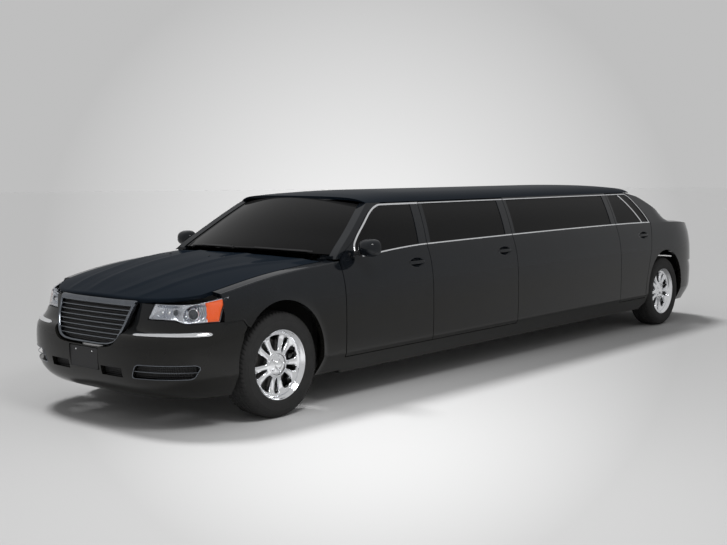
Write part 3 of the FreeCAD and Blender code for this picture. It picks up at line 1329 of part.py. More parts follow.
for k, sign in enumerate(("-", "")):
    axle_parts.append(rod("Rear_spring%d" % k, REAR_X, sign + "500", HUB, "52",
                          "Sizes.boot_floor - Sizes.seat_gap - " + HUB, Vector(0, 0, 1)))
keep("rear_axle", joined("Rear_axle", axle_parts))
keep("exhaust", joined("Exhaust", [
    rod("Long_pipe", FRONT_X + " + 400", "330", "Sizes.pipe_height", "Sizes.pipe_radius",
        "Sizes.wheelbase - 1100", Vector(1, 0, 0)),
    block("Silencer", FRONT_X + " + 2400", FRONT_X + " + 3000", "220", "440",
          "Sizes.floor_bottom - Sizes.seat_gap - 110", "Sizes.floor_bottom - Sizes.seat_gap")]))

# Cabin: front seats, the long lounge seat and the instrument panel with its steering wheel.
seat_base = floor_top + " + Sizes.seat_gap"
seats = []
for k, low in enumerate(("-(Sizes.seat_width + 175)", "175")):
    seats.append(joined("Front_seat%d" % k, [
        block("Seat_cushion%d" % k, FRONT_X + " + 1180", FRONT_X + " + 1680", low, low + " + Sizes.seat_width",
              seat_base, seat_base + " + Sizes.seat_height"),
        block("Seat_back%d" % k, FRONT_X + " + 1580", FRONT_X + " + 1700", low, low + " + Sizes.seat_width",
              seat_base + " + Sizes.seat_height - 20", seat_base + " + Sizes.seat_height + Sizes.seat_back")]))
pair = doc.addObject("Part::Compound", "Front_seats")
pair.Links = seats
keep("front_seats", pair)
lounge = joined("Lounge_form", [
    block("Rear_bench", rise_x + " - 480", rise_x + " - 35 - Sizes.seat_gap", "-600", "600",
          seat_base, seat_base + " + Sizes.seat_height"),
    block("Rear_back", rise_x + " - 180", rise_x + " - 35 - Sizes.seat_gap", "-600", "600",
          seat_base + " + Sizes.seat_height - 20", seat_base + " + Sizes.seat_height + Sizes.seat_back"),
    block("Side_bench", FRONT_X + " + 3000", rise_x + " - 400", "180", "640",
          seat_base, seat_base + " + Sizes.seat_height"),
    block("Side_back", FRONT_X + " + 3000", rise_x + " - 100", "600", "700",
          seat_base + " + 20", seat_base + " + Sizes.seat_height + 380")])
tunnel_room = block("Tunnel_room", rise_x + " - 2400", rise_x, "-Sizes.tunnel_half_width - Sizes.seat_gap",
                    "Sizes.tunnel_half_width + Sizes.seat_gap", "0", "Sizes.tunnel_top + Sizes.seat_gap")
keep("lounge_seat", carved("Lounge_seat", lounge, tunnel_room))
rim = doc.addObject("Part::Torus", "Steering_rim")
rim.Radius1 = 185
rim.Radius2 = 15
rim.Placement.Rotation = FreeCAD.Rotation(Vector(0, 1, 0), 65)
rim.setExpression("Placement.Base.x", FRONT_X + " + 1000")
rim.Placement.Base.y = -430
rim.Placement.Base.z = 850
dash_start = FRONT_X + " + Sizes.cowl_shut - 70"
keep("instrument_panel", joined("Instrument_panel", [
    block("Panel_top", dash_start, FRONT_X + " + 800", "-640", "640", "760", "960"),
    block("Panel_low", dash_start, FRONT_X + " + 700", "-640", "640", "640", "780"),
    rod("Column", FRONT_X + " + 780", "-430", "748", "24", "238", Vector(1, 0, 0.46)),
    block("Steering_bar", FRONT_X + " + 980", FRONT_X + " + 1010", "-600", "-260", "835", "865"),
    rim]))

# Grille: a chromed frame, wider at the top, with level bars across its opening.
frame_ring = grille_prism(0.0, 0.0).cut(grille_prism(size("grille_frame"), size("grille_header")))
grille = grille_slab(500, 840, 0.0, size("grille_depth"), 9).common(frame_ring)
opening = grille_prism(size("grille_frame") - 2, size("grille_header") - 2)
opening_low = size("grille_bottom") + size("grille_frame")
opening_tall = size("grille_top") - size("grille_header") - opening_low
bar_count = int(size("bar_count"))
bars = []
for k in range(bar_count):
    level_z = opening_low + opening_tall * (k + 1) / (bar_count + 1)
    bar = grille_slab(level_z - size("bar_height") / 2, level_z + size("bar_height") / 2, size("bar_set_back"),
                      size("bar_set_back") + size("bar_depth"), 2)
    bars.append(bar.common(opening))
grille = grille.fuse(bars)
bonnet_skin = nodes["bonnet"].Shape.copy()
for step in (Vector(-seat, 0, -seat), Vector(0, 0, -seat)):
    room = bonnet_skin.copy()
    room.translate(step)
    grille = grille.cut(room)
keep("grille", feature("Grille", grille))

os.makedirs("parts", exist_ok=True)
doc.recompute()
failed = [item.Name for item in doc.Objects if "Invalid" in item.State or "Error" in item.State]
for name, item in nodes.items():
    if item.Shape.isNull() or not item.Shape.isValid():
        failed.append(name)
if failed:
    raise RuntimeError("failed pieces: " + ", ".join(failed))
for name, item in nodes.items():
    item.Shape.exportStep("parts/%s.step" % name)
    print(name, len(item.Shape.Solids), round(item.Shape.Volume / 1e6, 3))
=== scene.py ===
import math
import bpy
import bmesh
from mathutils import Matrix
import numpy as np


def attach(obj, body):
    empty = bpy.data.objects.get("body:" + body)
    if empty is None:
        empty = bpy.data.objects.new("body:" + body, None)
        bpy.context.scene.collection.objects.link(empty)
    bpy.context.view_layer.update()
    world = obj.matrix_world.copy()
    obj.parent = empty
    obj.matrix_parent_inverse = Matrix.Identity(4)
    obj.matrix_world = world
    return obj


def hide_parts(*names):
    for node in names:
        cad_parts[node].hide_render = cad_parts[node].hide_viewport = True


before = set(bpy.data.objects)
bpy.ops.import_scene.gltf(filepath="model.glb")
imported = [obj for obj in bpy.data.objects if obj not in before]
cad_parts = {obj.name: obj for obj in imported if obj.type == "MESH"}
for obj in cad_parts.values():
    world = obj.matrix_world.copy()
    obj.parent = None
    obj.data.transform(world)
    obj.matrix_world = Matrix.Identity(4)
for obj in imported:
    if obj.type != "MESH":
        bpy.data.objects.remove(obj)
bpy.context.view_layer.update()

# Body form: the pressed-steel shell whose panels share one surface. Its height and width are set by the
# belt line, the crease over the sill and the roof rail, and the nose and tail round off as superellipses in
# plan. Every painted panel is cut from this form, so reflections run on from one panel to the next.
WHEELBASE = 5.700
NOSE = 0.925
TAIL = 1.075
FRONT_AXLE = (NOSE - TAIL - WHEELBASE) / 2
HALF_WIDTH = 0.950
BELT_HALF_WIDTH = 0.883
RAIL_HALF_WIDTH = 0.680
RAIL = 1.404
SILL_BOTTOM = 0.210
SILL_TUCK = 0.076
CREASE = 0.365
CREASE_INSET = 0.006
WIDEST = 0.600
GLASS_BULGE = 0.036
PLAN_POWER = 3.6
SHUT_GAP = 0.008
SHUT_LEAN = 0.130
COWL_SHUT = 0.617


def smooth_curve(*stations):
    """A monotone cubic through (position, value) pairs: on each span the Hermite cubic whose slope at a
    station is the harmonic mean of the slopes on its two sides, or nought at a turning point, and straight
    beyond both ends."""
    at, values = np.array(stations, float).T
    slopes = np.diff(values) / np.diff(at)
    product = slopes[:-1] * slopes[1:]
    total = np.where(product > 0, slopes[:-1] + slopes[1:], 1.0)
    tangents = np.concatenate([slopes[:1], np.where(product > 0, 2 * product / total, 0.0), slopes[-1:]])

    def value(x):
        x = np.asarray(x, float)
        i = np.clip(np.searchsorted(at, x, side="right") - 1, 0, len(at) - 2)
        width = at[i + 1] - at[i]
        f = np.clip((x - at[i]) / width, 0, 1)
        cubic = (values[i] * (1 + 2 * f) * (1 - f) ** 2 + tangents[i] * width * f * (1 - f) ** 2
                 + values[i + 1] * f * f * (3 - 2 * f) + tangents[i + 1] * width * f * f * (f - 1))
        return cubic + tangents[0] * np.minimum(x - at[0], 0) + tangents[-1] * np.maximum(x - at[-1], 0)

    return value


def smooth_step(x):
    """Nought below 0, one above 1, and 3x^2 - 2x^3 between."""
    x = np.clip(x, 0, 1)
    return x * x * (3 - 2 * x)


belt_line = smooth_curve((0.125 - NOSE, 0.776), (-0.480, 0.866), (0, 0.950), (COWL_SHUT, 1.003),
                         (1.637, 1.073), (WHEELBASE - 1.0, 1.096), (WHEELBASE + 0.310, 1.080),
                         (WHEELBASE + 0.945, 1.030))


def plan_share(x):
    """Share of the full width left at x: (1 - r^3.6)^(1/3.6), r being the distance past an axle over the
    overhang."""
    reach = np.clip(np.maximum(-x / NOSE, (x - WHEELBASE) / TAIL), 0, 1)
    return (1 - reach ** PLAN_POWER) ** (1 / PLAN_POWER)


def section(x, z):
    """Half-width of the full section at height z: tucked under the crease, widest at 0.6 m, drawn in to the
    belt, and above it a leaning line with a shallow bulge."""
    belt = belt_line(x)
    tuck = np.clip((CREASE - z) / (CREASE - SILL_BOTTOM), 0, None)
    low = HALF_WIDTH - CREASE_INSET - SILL_TUCK * tuck ** 1.15
    middle = HALF_WIDTH - CREASE_INSET * ((WIDEST - z) / (WIDEST - CREASE)) ** 2
    drawn_in = np.clip((z - WIDEST) / (belt - WIDEST), 0, None) ** 3.2
    upper = HALF_WIDTH - (HALF_WIDTH - BELT_HALF_WIDTH) * drawn_in
    rise = (z - belt) / (RAIL - belt)
    glass = BELT_HALF_WIDTH - (BELT_HALF_WIDTH - RAIL_HALF_WIDTH) * rise + GLASS_BULGE * rise * (1 - rise)
    return np.where(z < CREASE, low, np.where(z < WIDEST, middle, np.where(z < belt, upper, glass)))


def side(x, z):
    """Half-width of the body's side at x and height z."""
    return section(x, z) * plan_share(x)


def leaning(x):
    """A shut line that stands upright to the belt and leans back evenly above it."""
    belt = float(belt_line(x))
    return lambda z: x + SHUT_LEAN * np.maximum(z - belt, 0) / (RAIL - belt)


def shifted(edge, distance):
    """The same edge, moved along the car."""
    return lambda z: edge(z) + distance


def upright(x):
    """An edge at one station."""
    return lambda z: x + 0 * z


windscreen_edge = smooth_curve((1.020, 0.585), (1.047, 0.614), (1.200, 0.838), (1.330, 1.032),
                               (1.404, 1.150))
door_front_edge = smooth_curve((SILL_BOTTOM, COWL_SHUT), (0.960, COWL_SHUT), (1.005, 0.623), (1.147, 0.838),
                               (1.270, 1.012), (1.338, 1.118), (1.380, 1.215), (1.404, 1.320))
door_rear_edge = smooth_curve((0.210, WHEELBASE - 0.440), (0.408, WHEELBASE - 0.450),
                              (0.600, WHEELBASE - 0.410), (0.800, WHEELBASE - 0.344),
                              (0.950, WHEELBASE - 0.305), (1.092, WHEELBASE - 0.258),
                              (1.180, WHEELBASE - 0.285), (1.280, WHEELBASE - 0.340),
                              (1.350, WHEELBASE - 0.392), (1.404, WHEELBASE - 0.450))
front_window_edge = smooth_curve((1.060, 0.822), (1.100, 0.828), (1.147, 0.872), (1.270, 1.046),
                                 (1.338, 1.152), (1.380, 1.249), (1.404, 1.354))
front_shut = leaning(1.637)
second_shut = leaning(2.841)
rear_shut = leaning(WHEELBASE - 1.003)


class Value:
    """A socket of a shader node, so that sums on sockets add Math nodes."""

    def __init__(self, tree, socket):
        self.tree = tree
        self.socket = socket

    def sum(self, operation, *others):
        """What a Math node makes of these values."""
        maths = self.tree.nodes.new("ShaderNodeMath")
        maths.operation = operation
        for place, item in zip(maths.inputs, others):
            if isinstance(item, Value):
                self.tree.links.new(item.socket, place)
            else:
                place.default_value = item
        return Value(self.tree, maths.outputs[0])

    def __add__(self, other):
        return self.sum("ADD", self, other)

    def __radd__(self, other):
        return self.sum("ADD", other, self)

    def __sub__(self, other):
        return self.sum("SUBTRACT", self, other)

    def __rsub__(self, other):
        return self.sum("SUBTRACT", other, self)

    def __mul__(self, other):
        return self.sum("MULTIPLY", self, other)

    def __rmul__(self, other):
        return self.sum("MULTIPLY", other, self)

    def __truediv__(self, other):
        return self.sum("DIVIDE", self, other)

    def __pow__(self, other):
        return self.sum("POWER", self, other)

    def at_least(self, other):
        return self.sum("MAXIMUM", self, other)

    def at_most(self, other):
        return self.sum("MINIMUM", self, other)


class Finish:
    """A material under construction: node() adds any node, and the finished one goes on a mesh."""

    def __init__(self, name):
        self.material = bpy.data.materials.new(name)
        self.material.use_nodes = True
        self.tree = self.material.node_tree
        self.shader = self.tree.nodes["Principled BSDF"]
        self.here = self.node("ShaderNodeTexCoord").outputs["Object"]

    def node(self, kind, settings=None, **sockets):
        """A node of this kind, its settings made first, then its sockets given values or links."""
        made = self.tree.nodes.new(kind)
        for name, value in (settings or {}).items():
            setattr(made, name, value)
        for name, value in sockets.items():
            self.put(made.inputs[name.replace("_", " ")], value)
        return made

    def put(self, place, value):
        """Give a socket a value, or link it to what works the value out."""
        if isinstance(value, Value):
            self.tree.links.new(value.socket, place)
        elif isinstance(value, bpy.types.NodeSocket):
            self.tree.links.new(value, place)
        elif isinstance(value, tuple) and len(value) == 3 and place.type == "RGBA":
            place.default_value = (*value, 1)
        else:
            place.default_value = value

    def set(self, **sockets):
        """Give the Principled shader's sockets their values."""
        for name, value in sockets.items():
            self.put(self.shader.inputs[name.replace("_", " ")], value)

    def noise(self, scale, detail, roughness=0.5):
        """Smooth noise from 0 to 1 on Object coordinates, scale being its waves in a metre."""
        made = self.node("ShaderNodeTexNoise", Vector=self.here, Scale=scale, Detail=detail,
                         Roughness=roughness)
        return Value(self.tree, made.outputs["Fac"])

    def axis(self, letter):
        """One Object coordinate, in metres."""
        return Value(self.tree, self.node("ShaderNodeSeparateXYZ", Vector=self.here).outputs[letter])

    def wave(self, letter, turn):
        """The sine of one Object coordinate times turn."""
        angle = self.axis(letter) * turn
        return angle.sum("SINE", angle)

    def mix(self, share, first, second):
        """A colour between two, by share."""
        made = self.node("ShaderNodeMix", {"data_type": "RGBA"})
        self.put(made.inputs[0], share)
        self.put(made.inputs[6], first)
        self.put(made.inputs[7], second)
        return made.outputs[2]

    def filmed(self, share, colour):
        """A thin matt film over the shader, covering this share of it."""
        film = self.node("ShaderNodeBsdfDiffuse", Color=colour)
        both = self.node("ShaderNodeMixShader", Fac=share)
        self.tree.links.new(self.shader.outputs[0], both.inputs[1])
        self.tree.links.new(film.outputs[0], both.inputs[2])
        self.tree.links.new(both.outputs[0], self.tree.nodes["Material Output"].inputs["Surface"])

    def bump(self, height, distance, strength=1.0):
        """A Bump node on the Normal socket."""
        made = self.node("ShaderNodeBump", Strength=strength, Distance=distance)
        self.put(made.inputs["Height"], height)
        self.put(self.shader.inputs["Normal"], made.outputs[0])


def black_paint(name, film):
    """Deep black enamel under clear lacquer, browner low down and bluer on top: a painted reflection of the
    ground below and the sky above. A little dust dulls it unevenly, and the lacquer has a faint orange
    peel; a bluish matt film, a painted sky reflection that also dims the real reflections, covers the given
    share."""
    paint = Finish(name)
    dust = paint.noise(6, 4.0)
    # Painted reflection: the base colour runs from a browner tone below 0.62 m to a bluer one above 0.87 m,
    # standing in for the ground and the sky reflected in the lacquer.
    height = ((paint.axis("Z") - 0.62) * 4).at_least(0).at_most(1)
    low = paint.mix(dust, (0.0072, 0.0070, 0.0060), (0.0110, 0.0108, 0.0098))
    high = paint.mix(dust, (0.0062, 0.0078, 0.0105), (0.0100, 0.0120, 0.0150))
    paint.set(Base_Color=paint.mix(height, low, high), Roughness=0.035 + 0.045 * dust, IOR=1.37)
    paint.bump(paint.noise(260, 1.0), 0.00004)
    # The film is a bluish matt diffuse: a painted sky reflection, which also dims the lacquer's own
    # reflections.
    if film:
        paint.filmed(film, (0.007, 0.0115, 0.018))
    return paint.material


# The bonnet, roof and boot lid take the bluish film over 86% of the enamel: a painted sky reflection.
PAINT, SKY_FILMED_PAINT = black_paint("black_enamel", 0), black_paint("enamel_painted_sky_film", 0.86)


def grid_quads(rows, columns, wrap_rows, wrap_columns, start=0):
    """The four-cornered faces of a grid of points, as point numbers."""
    i = np.arange(rows if wrap_rows else rows - 1)[:, None]
    j = np.arange(columns if wrap_columns else columns - 1)[None, :]
    below, right = (i + 1) % rows, (j + 1) % columns
    quads = np.stack([i * columns + j + 0 * below, i * columns + right + 0 * below, below * columns + right,
                      below * columns + j], axis=-1)
    return quads.reshape(-1, 4) + start


def facing(patch, outward):
    """The patch, with its rows turned round if need be so that its faces look along outward."""
    middle = patch[patch.shape[0] // 2 - 1:, patch.shape[1] // 2 - 1:]
    along = middle[0, 1] - middle[0, 0]
    up = middle[1, 0] - middle[0, 0]
    return patch if np.dot(np.cross(along, up), outward) > 0 else patch[::-1]


def welded(mesh, reach, turned=False):
    """Merge the mesh's points that lie within reach, drop faces left without area and, if wanted, turn
    every face of a closed mesh outward."""
    work = bmesh.new()
    work.from_mesh(mesh)
    bmesh.ops.remove_doubles(work, verts=work.verts, dist=reach)
    bmesh.ops.dissolve_degenerate(work, edges=work.edges, dist=0.000001)
    if turned:
        bmesh.ops.recalc_face_normals(work, faces=work.faces)
    work.to_mesh(mesh)
    work.free()


def placed(name, mesh, material, body):
    """The mesh as a smooth-faced piece that rides on a body and takes its finish from a slot."""
    mesh.polygons.foreach_set("use_smooth", np.ones(len(mesh.polygons), bool))
    mesh.materials.append(material)
    made = bpy.data.objects.new(name, mesh)
    bpy.context.scene.collection.objects.link(made)
    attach(made, body)
    return made


def piece(name, patches, material, body, outward, wrap=(False, False)):
    """A mesh of one or more patches of points, riding on a body; patches that share an edge are welded
    there."""
    points, quads, start = [], [], 0
    for patch in patches:
        patch = patch if outward is None else facing(patch, np.array(outward, float))
        points.append(patch.reshape(-1, 3))
        quads.append(grid_quads(*patch.shape[:2], *wrap, start=start))
        start += patch.shape[0] * patch.shape[1]
    mesh = bpy.data.meshes.new(name)
    mesh.from_pydata(np.concatenate(points).tolist(), [], np.concatenate(quads).tolist())
    welded(mesh, 0.00002)
    return placed(name, mesh, material, body)


SHEET = 0.005


def thicken(made, thickness, edge=0.0012):
    """Give a sheet its wall, inward from its face, and a small round on its sharp edges."""
    wall = made.modifiers.new("Wall", "SOLIDIFY")
    wall.thickness = thickness
    wall.offset = -1
    if edge:
        rounding = made.modifiers.new("Edge", "BEVEL")
        rounding.width = edge
        rounding.segments = 2
        rounding.limit_method = "ANGLE"
        rounding.angle_limit = math.radians(50)
        rounding.harden_normals = True
    return made


def pressed(made):
    """Give a body panel the wall of its sheet."""
    return thicken(made, SHEET)


def flipped(patch):
    """The patch on the car's other side."""
    return patch * np.array([1, -1, 1])


def spaced(low, high, step, fine, fine_step):
    """Positions from 0 to 1 over a run, about a step apart and closer within the fine stretches."""
    marks = [low, high]
    for start, end in fine:
        marks += [max(start, low), min(end, high)]
    marks = sorted(set(round(mark, 6) for mark in marks))
    runs = []
    for start, end in zip(marks, marks[1:]):
        middle = (start + end) / 2
        size = fine_step if any(a <= middle <= b for a, b in fine) else step
        runs.append(np.linspace(start, end, max(int(math.ceil((end - start) / size)), 1) + 1)[:-1])
    return (np.concatenate(runs + [[high]]) - low) / (high - low)


# Doors' and side panels' skins: pressed sheet over the doors, the fixed centre panel and the sills. They
# stand a hair proud of the frames that carry them, and dip behind each handle.
SKIN = 0.0008
SEAM = 0.0003
DOOR_BOTTOM = 0.335
DOOR_TOP = RAIL - SHUT_GAP
WINDOW_TOP = 1.384
BELT_REVEAL = 0.012
HANDLE_HALF = (0.085, 0.035)
HANDLE_DEPTH = 0.020
HANDLE_SIGHT = 0.960
HANDLE_SETBACK = 0.170
HANDLE_DROP = 0.120
FLARE = 0.009
FLARE_REACH = 0.060
ARCH_RADIUS = 0.390
ARCH_CENTRE = 0.408
ARCH_SHIFT = 0.008


def handle_place(rear):
    """Station and height of a door's handle, ahead of the door's rear edge and under the belt."""
    x = float(rear(np.array(HANDLE_SIGHT))) - HANDLE_SETBACK
    return x, float(belt_line(x)) - HANDLE_DROP


HANDLES = {"front": handle_place(shifted(front_shut, -SHUT_GAP / 2)),
           "second": handle_place(shifted(second_shut, -SHUT_GAP / 2)),
           "rear": handle_place(shifted(door_rear_edge, -SHUT_GAP))}


def skin(x, z):
    """Points of the left side: the form, a lip round each wheel opening that falls off with the square of
    the distance from it, and a bowl behind each handle of depth d * (1 - r^2)^0.6 over its ellipse."""
    y = side(x, z) + SKIN
    for axle in (0, WHEELBASE):
        away = np.hypot(x - axle + ARCH_SHIFT, z - ARCH_CENTRE) - ARCH_RADIUS
        y = y + FLARE * np.clip(1 - away / FLARE_REACH, 0, 1) ** 2 * plan_share(x)
    for hx, hz in HANDLES.values():
        r = ((x - hx) / HANDLE_HALF[0]) ** 2 + ((z - hz) / HANDLE_HALF[1]) ** 2
        y = y - HANDLE_DEPTH * np.clip(1 - r, 0, 1) ** 0.6
    return np.stack([x + FRONT_AXLE, -y, z + 0 * x], axis=-1)


def side_patch(front, rear, low, high, across, up):
    """Points between a front and a rear edge, each x as a function of z, and a lower and an upper line,
    each z as a function of x; the two are solved together by a few rounds of substitution."""
    u, v = np.meshgrid(across, up)
    x = front(0.7 + 0 * u) * (1 - u) + rear(0.7 + 0 * u) * u
    for _ in range(6):
        z = low(x) * (1 - v) + high(x) * v
        x = front(z) * (1 - u) + rear(z) * u
    return skin(x, z)


def level(z):
    """A line at one height."""
    return lambda x: z + 0 * x


def belt_sill(x):
    """The lower edge of the side glass."""
    return belt_line(x) + BELT_REVEAL


def door_skin(name, front, rear, window_front, window_rear):
    """A door's outer panel: one patch under the glass, and the window frame's three strips."""
    front_edge, rear_edge = shifted(front, -SKIN), shifted(rear, SKIN)
    hx, hz = HANDLES[name]
    x0, x1 = float(front(np.array(0.9))), float(rear(np.array(0.9)))
    reach_x, reach_z = HANDLE_HALF[0] + 0.010, HANDLE_HALF[1] + 0.005
    across = spaced(x0, x1, 0.030, [(hx - reach_x, hx + reach_x)], 0.005)
    up = spaced(DOOR_BOTTOM, float(belt_sill(hx)), 0.014, [(hz - reach_z, hz + reach_z)], 0.004)
    strip = np.linspace(0, 1, 4)
    rise = np.linspace(0, 1, 25)
    patches = [side_patch(front_edge, rear_edge, level(DOOR_BOTTOM - SKIN), belt_sill, across, up)]
    patches.append(side_patch(front_edge, window_front, belt_sill, level(WINDOW_TOP), strip, rise))
    patches.append(side_patch(window_rear, rear_edge, belt_sill, level(WINDOW_TOP), strip, rise))
    top = level(DOOR_TOP + SKIN)
    for start, end, count in ((front_edge, window_front, 4), (window_front, window_rear, 40),
                              (window_rear, rear_edge, 4)):
        patches.append(side_patch(start, end, level(WINDOW_TOP), top, np.linspace(0, 1, count), strip))
    return patches


FRAME_AHEAD = 0.098
FRAME_BEHIND = 0.048
REAR_FRAME_AHEAD = 0.030
REAR_FRAME_BEHIND = 0.038
CENTRE_FRAME_AHEAD = 0.088
DOOR_EDGES = {"front": (shifted(door_front_edge, SHUT_GAP), shifted(front_shut, -SHUT_GAP / 2),
                        front_window_edge, shifted(front_shut, -FRAME_AHEAD)),
              "second": (shifted(front_shut, SHUT_GAP / 2), shifted(second_shut, -SHUT_GAP / 2),
                         shifted(front_shut, FRAME_BEHIND), shifted(second_shut, -FRAME_AHEAD)),
              "rear": (shifted(rear_shut, SHUT_GAP / 2), shifted(door_rear_edge, -SHUT_GAP),
                       shifted(rear_shut, REAR_FRAME_BEHIND),
                       shifted(door_rear_edge, -SHUT_GAP - REAR_FRAME_AHEAD))}


def on_both_sides(name, patches, material, body="body", outward=(0, -1, 0), *, shape):
    """The left piece and its mirror image; body may hold %s for the side's name."""
    made = []
    for hand in ("left", "right"):
        right = hand == "right"
        turned = [flipped(patch) for patch in patches] if right else patches
        look = np.array(outward, float) * ([1, -1, 1] if right else [1, 1, 1])
        item = piece("%s_%s" % (name, hand), turned, material, body.replace("%s", hand), look)
        shape(item)
        made.append(item)
    return made


for name, edges in DOOR_EDGES.items():
    on_both_sides("door_skin_" + name, door_skin(name, *edges), PAINT, "door_%s_%%s" % name,
                  shape=pressed)

front_edge, rear_edge = shifted(second_shut, SHUT_GAP / 2 - SKIN), shifted(rear_shut, -SHUT_GAP / 2 + SKIN)
fixed_front, fixed_rear = shifted(second_shut, FRAME_BEHIND), shifted(rear_shut, -CENTRE_FRAME_AHEAD)
long_run = np.linspace(0, 1, 60)
few = np.linspace(0, 1, 4)
fixed = [side_patch(front_edge, rear_edge, level(SILL_BOTTOM), belt_sill, long_run, np.linspace(0, 1, 60)),
         side_patch(front_edge, fixed_front, belt_sill, level(WINDOW_TOP), few, np.linspace(0, 1, 25)),
         side_patch(fixed_rear, rear_edge, belt_sill, level(WINDOW_TOP), few, np.linspace(0, 1, 25))]
for start, end, count in ((front_edge, fixed_front, 4), (fixed_front, fixed_rear, 60),
                          (fixed_rear, rear_edge, 4)):
    across = np.linspace(0, 1, count)
    fixed.append(side_patch(start, end, level(WINDOW_TOP), level(RAIL - SEAM), across, few))
on_both_sides("centre_skin", fixed, PAINT, shape=pressed)

SILL_TOP = DOOR_BOTTOM - SHUT_GAP
SECOND_FOOT = 2.845
REAR_FOOT = WHEELBASE - 1.007
for name, start, end in (("sill_skin_front", upright(COWL_SHUT), upright(SECOND_FOOT)),
                         ("sill_skin_rear", upright(REAR_FOOT), shifted(door_rear_edge, -SEAM))):
    sill = side_patch(start, end, level(SILL_BOTTOM), level(SILL_TOP + SKIN), np.linspace(0, 1, 70),
                      np.linspace(0, 1, 14))
    on_both_sides(name, [sill], PAINT, shape=pressed)

# Windscreen pillars: the painted strips between the glass and the front doors' frames. Each is one pressing
# with the body's side and is welded to the roof's rail.
pillar = side_patch(windscreen_edge, door_front_edge, level(1.024), level(RAIL - SEAM),
                    np.linspace(0, 1, 6), np.linspace(0, 1, 40))
on_both_sides("pillar_skin", [pillar], PAINT, shape=pressed)

# Front fenders: pressed round the wheel, and rolled over at the top to meet the bonnet. The skin is drawn
# in rays from the wheel opening out to the panel's edges.
NOSE_TURN = math.radians(82)
LAMP_FOOT = 0.700
LAMP_HEAD = 0.870
nose_line = smooth_curve((SILL_BOTTOM, 0.800), (0.255, 0.862), (0.310, 0.896), (0.400, 0.919),
                         (0.490, NOSE), (0.560, 0.921), (0.610, 0.902), (0.640, 0.850), (0.700, 0.806),
                         (0.780, 0.786), (0.860, 0.766))


def lamp_end(z):
    """Where the headlamp stops and the fender starts, behind the nose."""
    ratio = math.sin(0.86 * NOSE_TURN)
    return -nose_line(np.clip(z, 0.640, 0.868)) * (1 - ratio ** PLAN_POWER) ** (1 / PLAN_POWER)


def ray_patch(axle, stops, rings):
    """Points on rays from a wheel opening to a panel's outline. The outline is a row of stops, each an
    angle from the rear round over the wheel with the outline's point there, and the points between are
    evenly spread."""
    angles, xs, zs = [], [], []
    for (a0, p0), (a1, p1) in zip(stops, stops[1:]):
        count = max(int(abs(a1 - a0) / 2.2), 2)
        share = np.linspace(0, 1, count, endpoint=False)
        angles.append(a0 + (a1 - a0) * share)
        xs.append(p0[0] + (p1[0] - p0[0]) * share)
        zs.append(p0[1] + (p1[1] - p0[1]) * share)
    angles = np.radians(np.concatenate(angles + [[stops[-1][0]]]))
    last_x, last_z = stops[-1][1]
    outer = np.stack([np.concatenate(xs + [[last_x]]), np.concatenate(zs + [[last_z]])], -1)
    inner = np.stack([axle - ARCH_SHIFT + (ARCH_RADIUS - 0.001) * np.cos(angles),
                      ARCH_CENTRE + (ARCH_RADIUS - 0.001) * np.sin(angles)], -1)
    share = (np.linspace(0, 1, rings) ** 1.5)[:, None, None]
    points = inner[None] * (1 - share) + outer[None] * share
    return skin(points[..., 0], points[..., 1])


fender_bottom = SILL_BOTTOM + 0.022
foot_rear = math.degrees(math.asin((fender_bottom - ARCH_CENTRE) / ARCH_RADIUS))
top_run = np.linspace(COWL_SHUT, float(lamp_end(LAMP_HEAD)) + SHUT_GAP, 22)
stops = [(foot_rear, (COWL_SHUT, fender_bottom)), (8, (COWL_SHUT, 0.62)), (38, (COWL_SHUT, 0.86)),
         (50, (COWL_SHUT, float(belt_line(COWL_SHUT))))]
for x in top_run[1:]:
    share = (COWL_SHUT - x) / (COWL_SHUT - top_run[-1])
    stops.append((50 + 92 * share, (x, float(belt_line(x)))))
front_foot = 180 - math.degrees(math.asin((LAMP_FOOT - ARCH_CENTRE) / ARCH_RADIUS))
stops.append((front_foot, (float(lamp_end(LAMP_FOOT)) + SHUT_GAP, LAMP_FOOT)))
fender = [ray_patch(0.0, stops, 26)]
roll = []
for drop, lift in ((0, 0), (0.008, 0.0032), (0.020, 0.006), (0.048, 0.011), (0.083, 0.014)):
    y = (BELT_HALF_WIDTH - drop) * plan_share(top_run)
    z = belt_line(top_run) + lift + SKIN
    roll.append(np.stack([top_run + FRONT_AXLE, -y - SKIN * (drop < 0.01), z], -1))
fender.append(np.array(roll))
on_both_sides("fender_skin", fender, PAINT, outward=(0, -1, 0.2), shape=pressed)

# Chrome trims: bright pressed strips clipped over the door frames and along the belt. Each panel carries
# its own length, so the strips part at the shut lines when a door opens.
TRIM_LEVEL = WINDOW_TOP + 0.0045
TRIM_GAP = 0.001
BELT_LEVEL = 1.08
BELT_TRIM_DROP = 0.006
WIDE_TRIM, BELT_TRIM = (0.0075, 0.005), (0.0055, 0.004)
NARROW_TRIM, DIVISION_TRIM = (0.0045, 0.003), (0.009, 0.004)


def plating(name, clean, hazy, roughness, spread):
    """A plated mirror with a haze in patches, which is duller and rougher than the clean metal."""
    chrome = Finish(name)
    haze = chrome.noise(22, 3.0)
    chrome.set(Base_Color=chrome.mix(haze, clean, hazy), Metallic=1.0, Roughness=roughness + spread * haze)
    return chrome.material


CHROME = plating("bright_chrome", (0.95, 0.96, 0.98), (0.84, 0.85, 0.87), 0.04, 0.07)
SMOKED = plating("smoked_chrome", (0.20, 0.215, 0.24), (0.13, 0.14, 0.155), 0.08, 0.10)


def side_run(x, z):
    """Points on the left side's skin, and the directions straight out from it there."""
    here = skin(x, z)
    out = np.cross(skin(x + 0.001, z) - here, skin(x, z + 0.001) - here)
    return here, out / np.linalg.norm(out, axis=-1, keepdims=True)


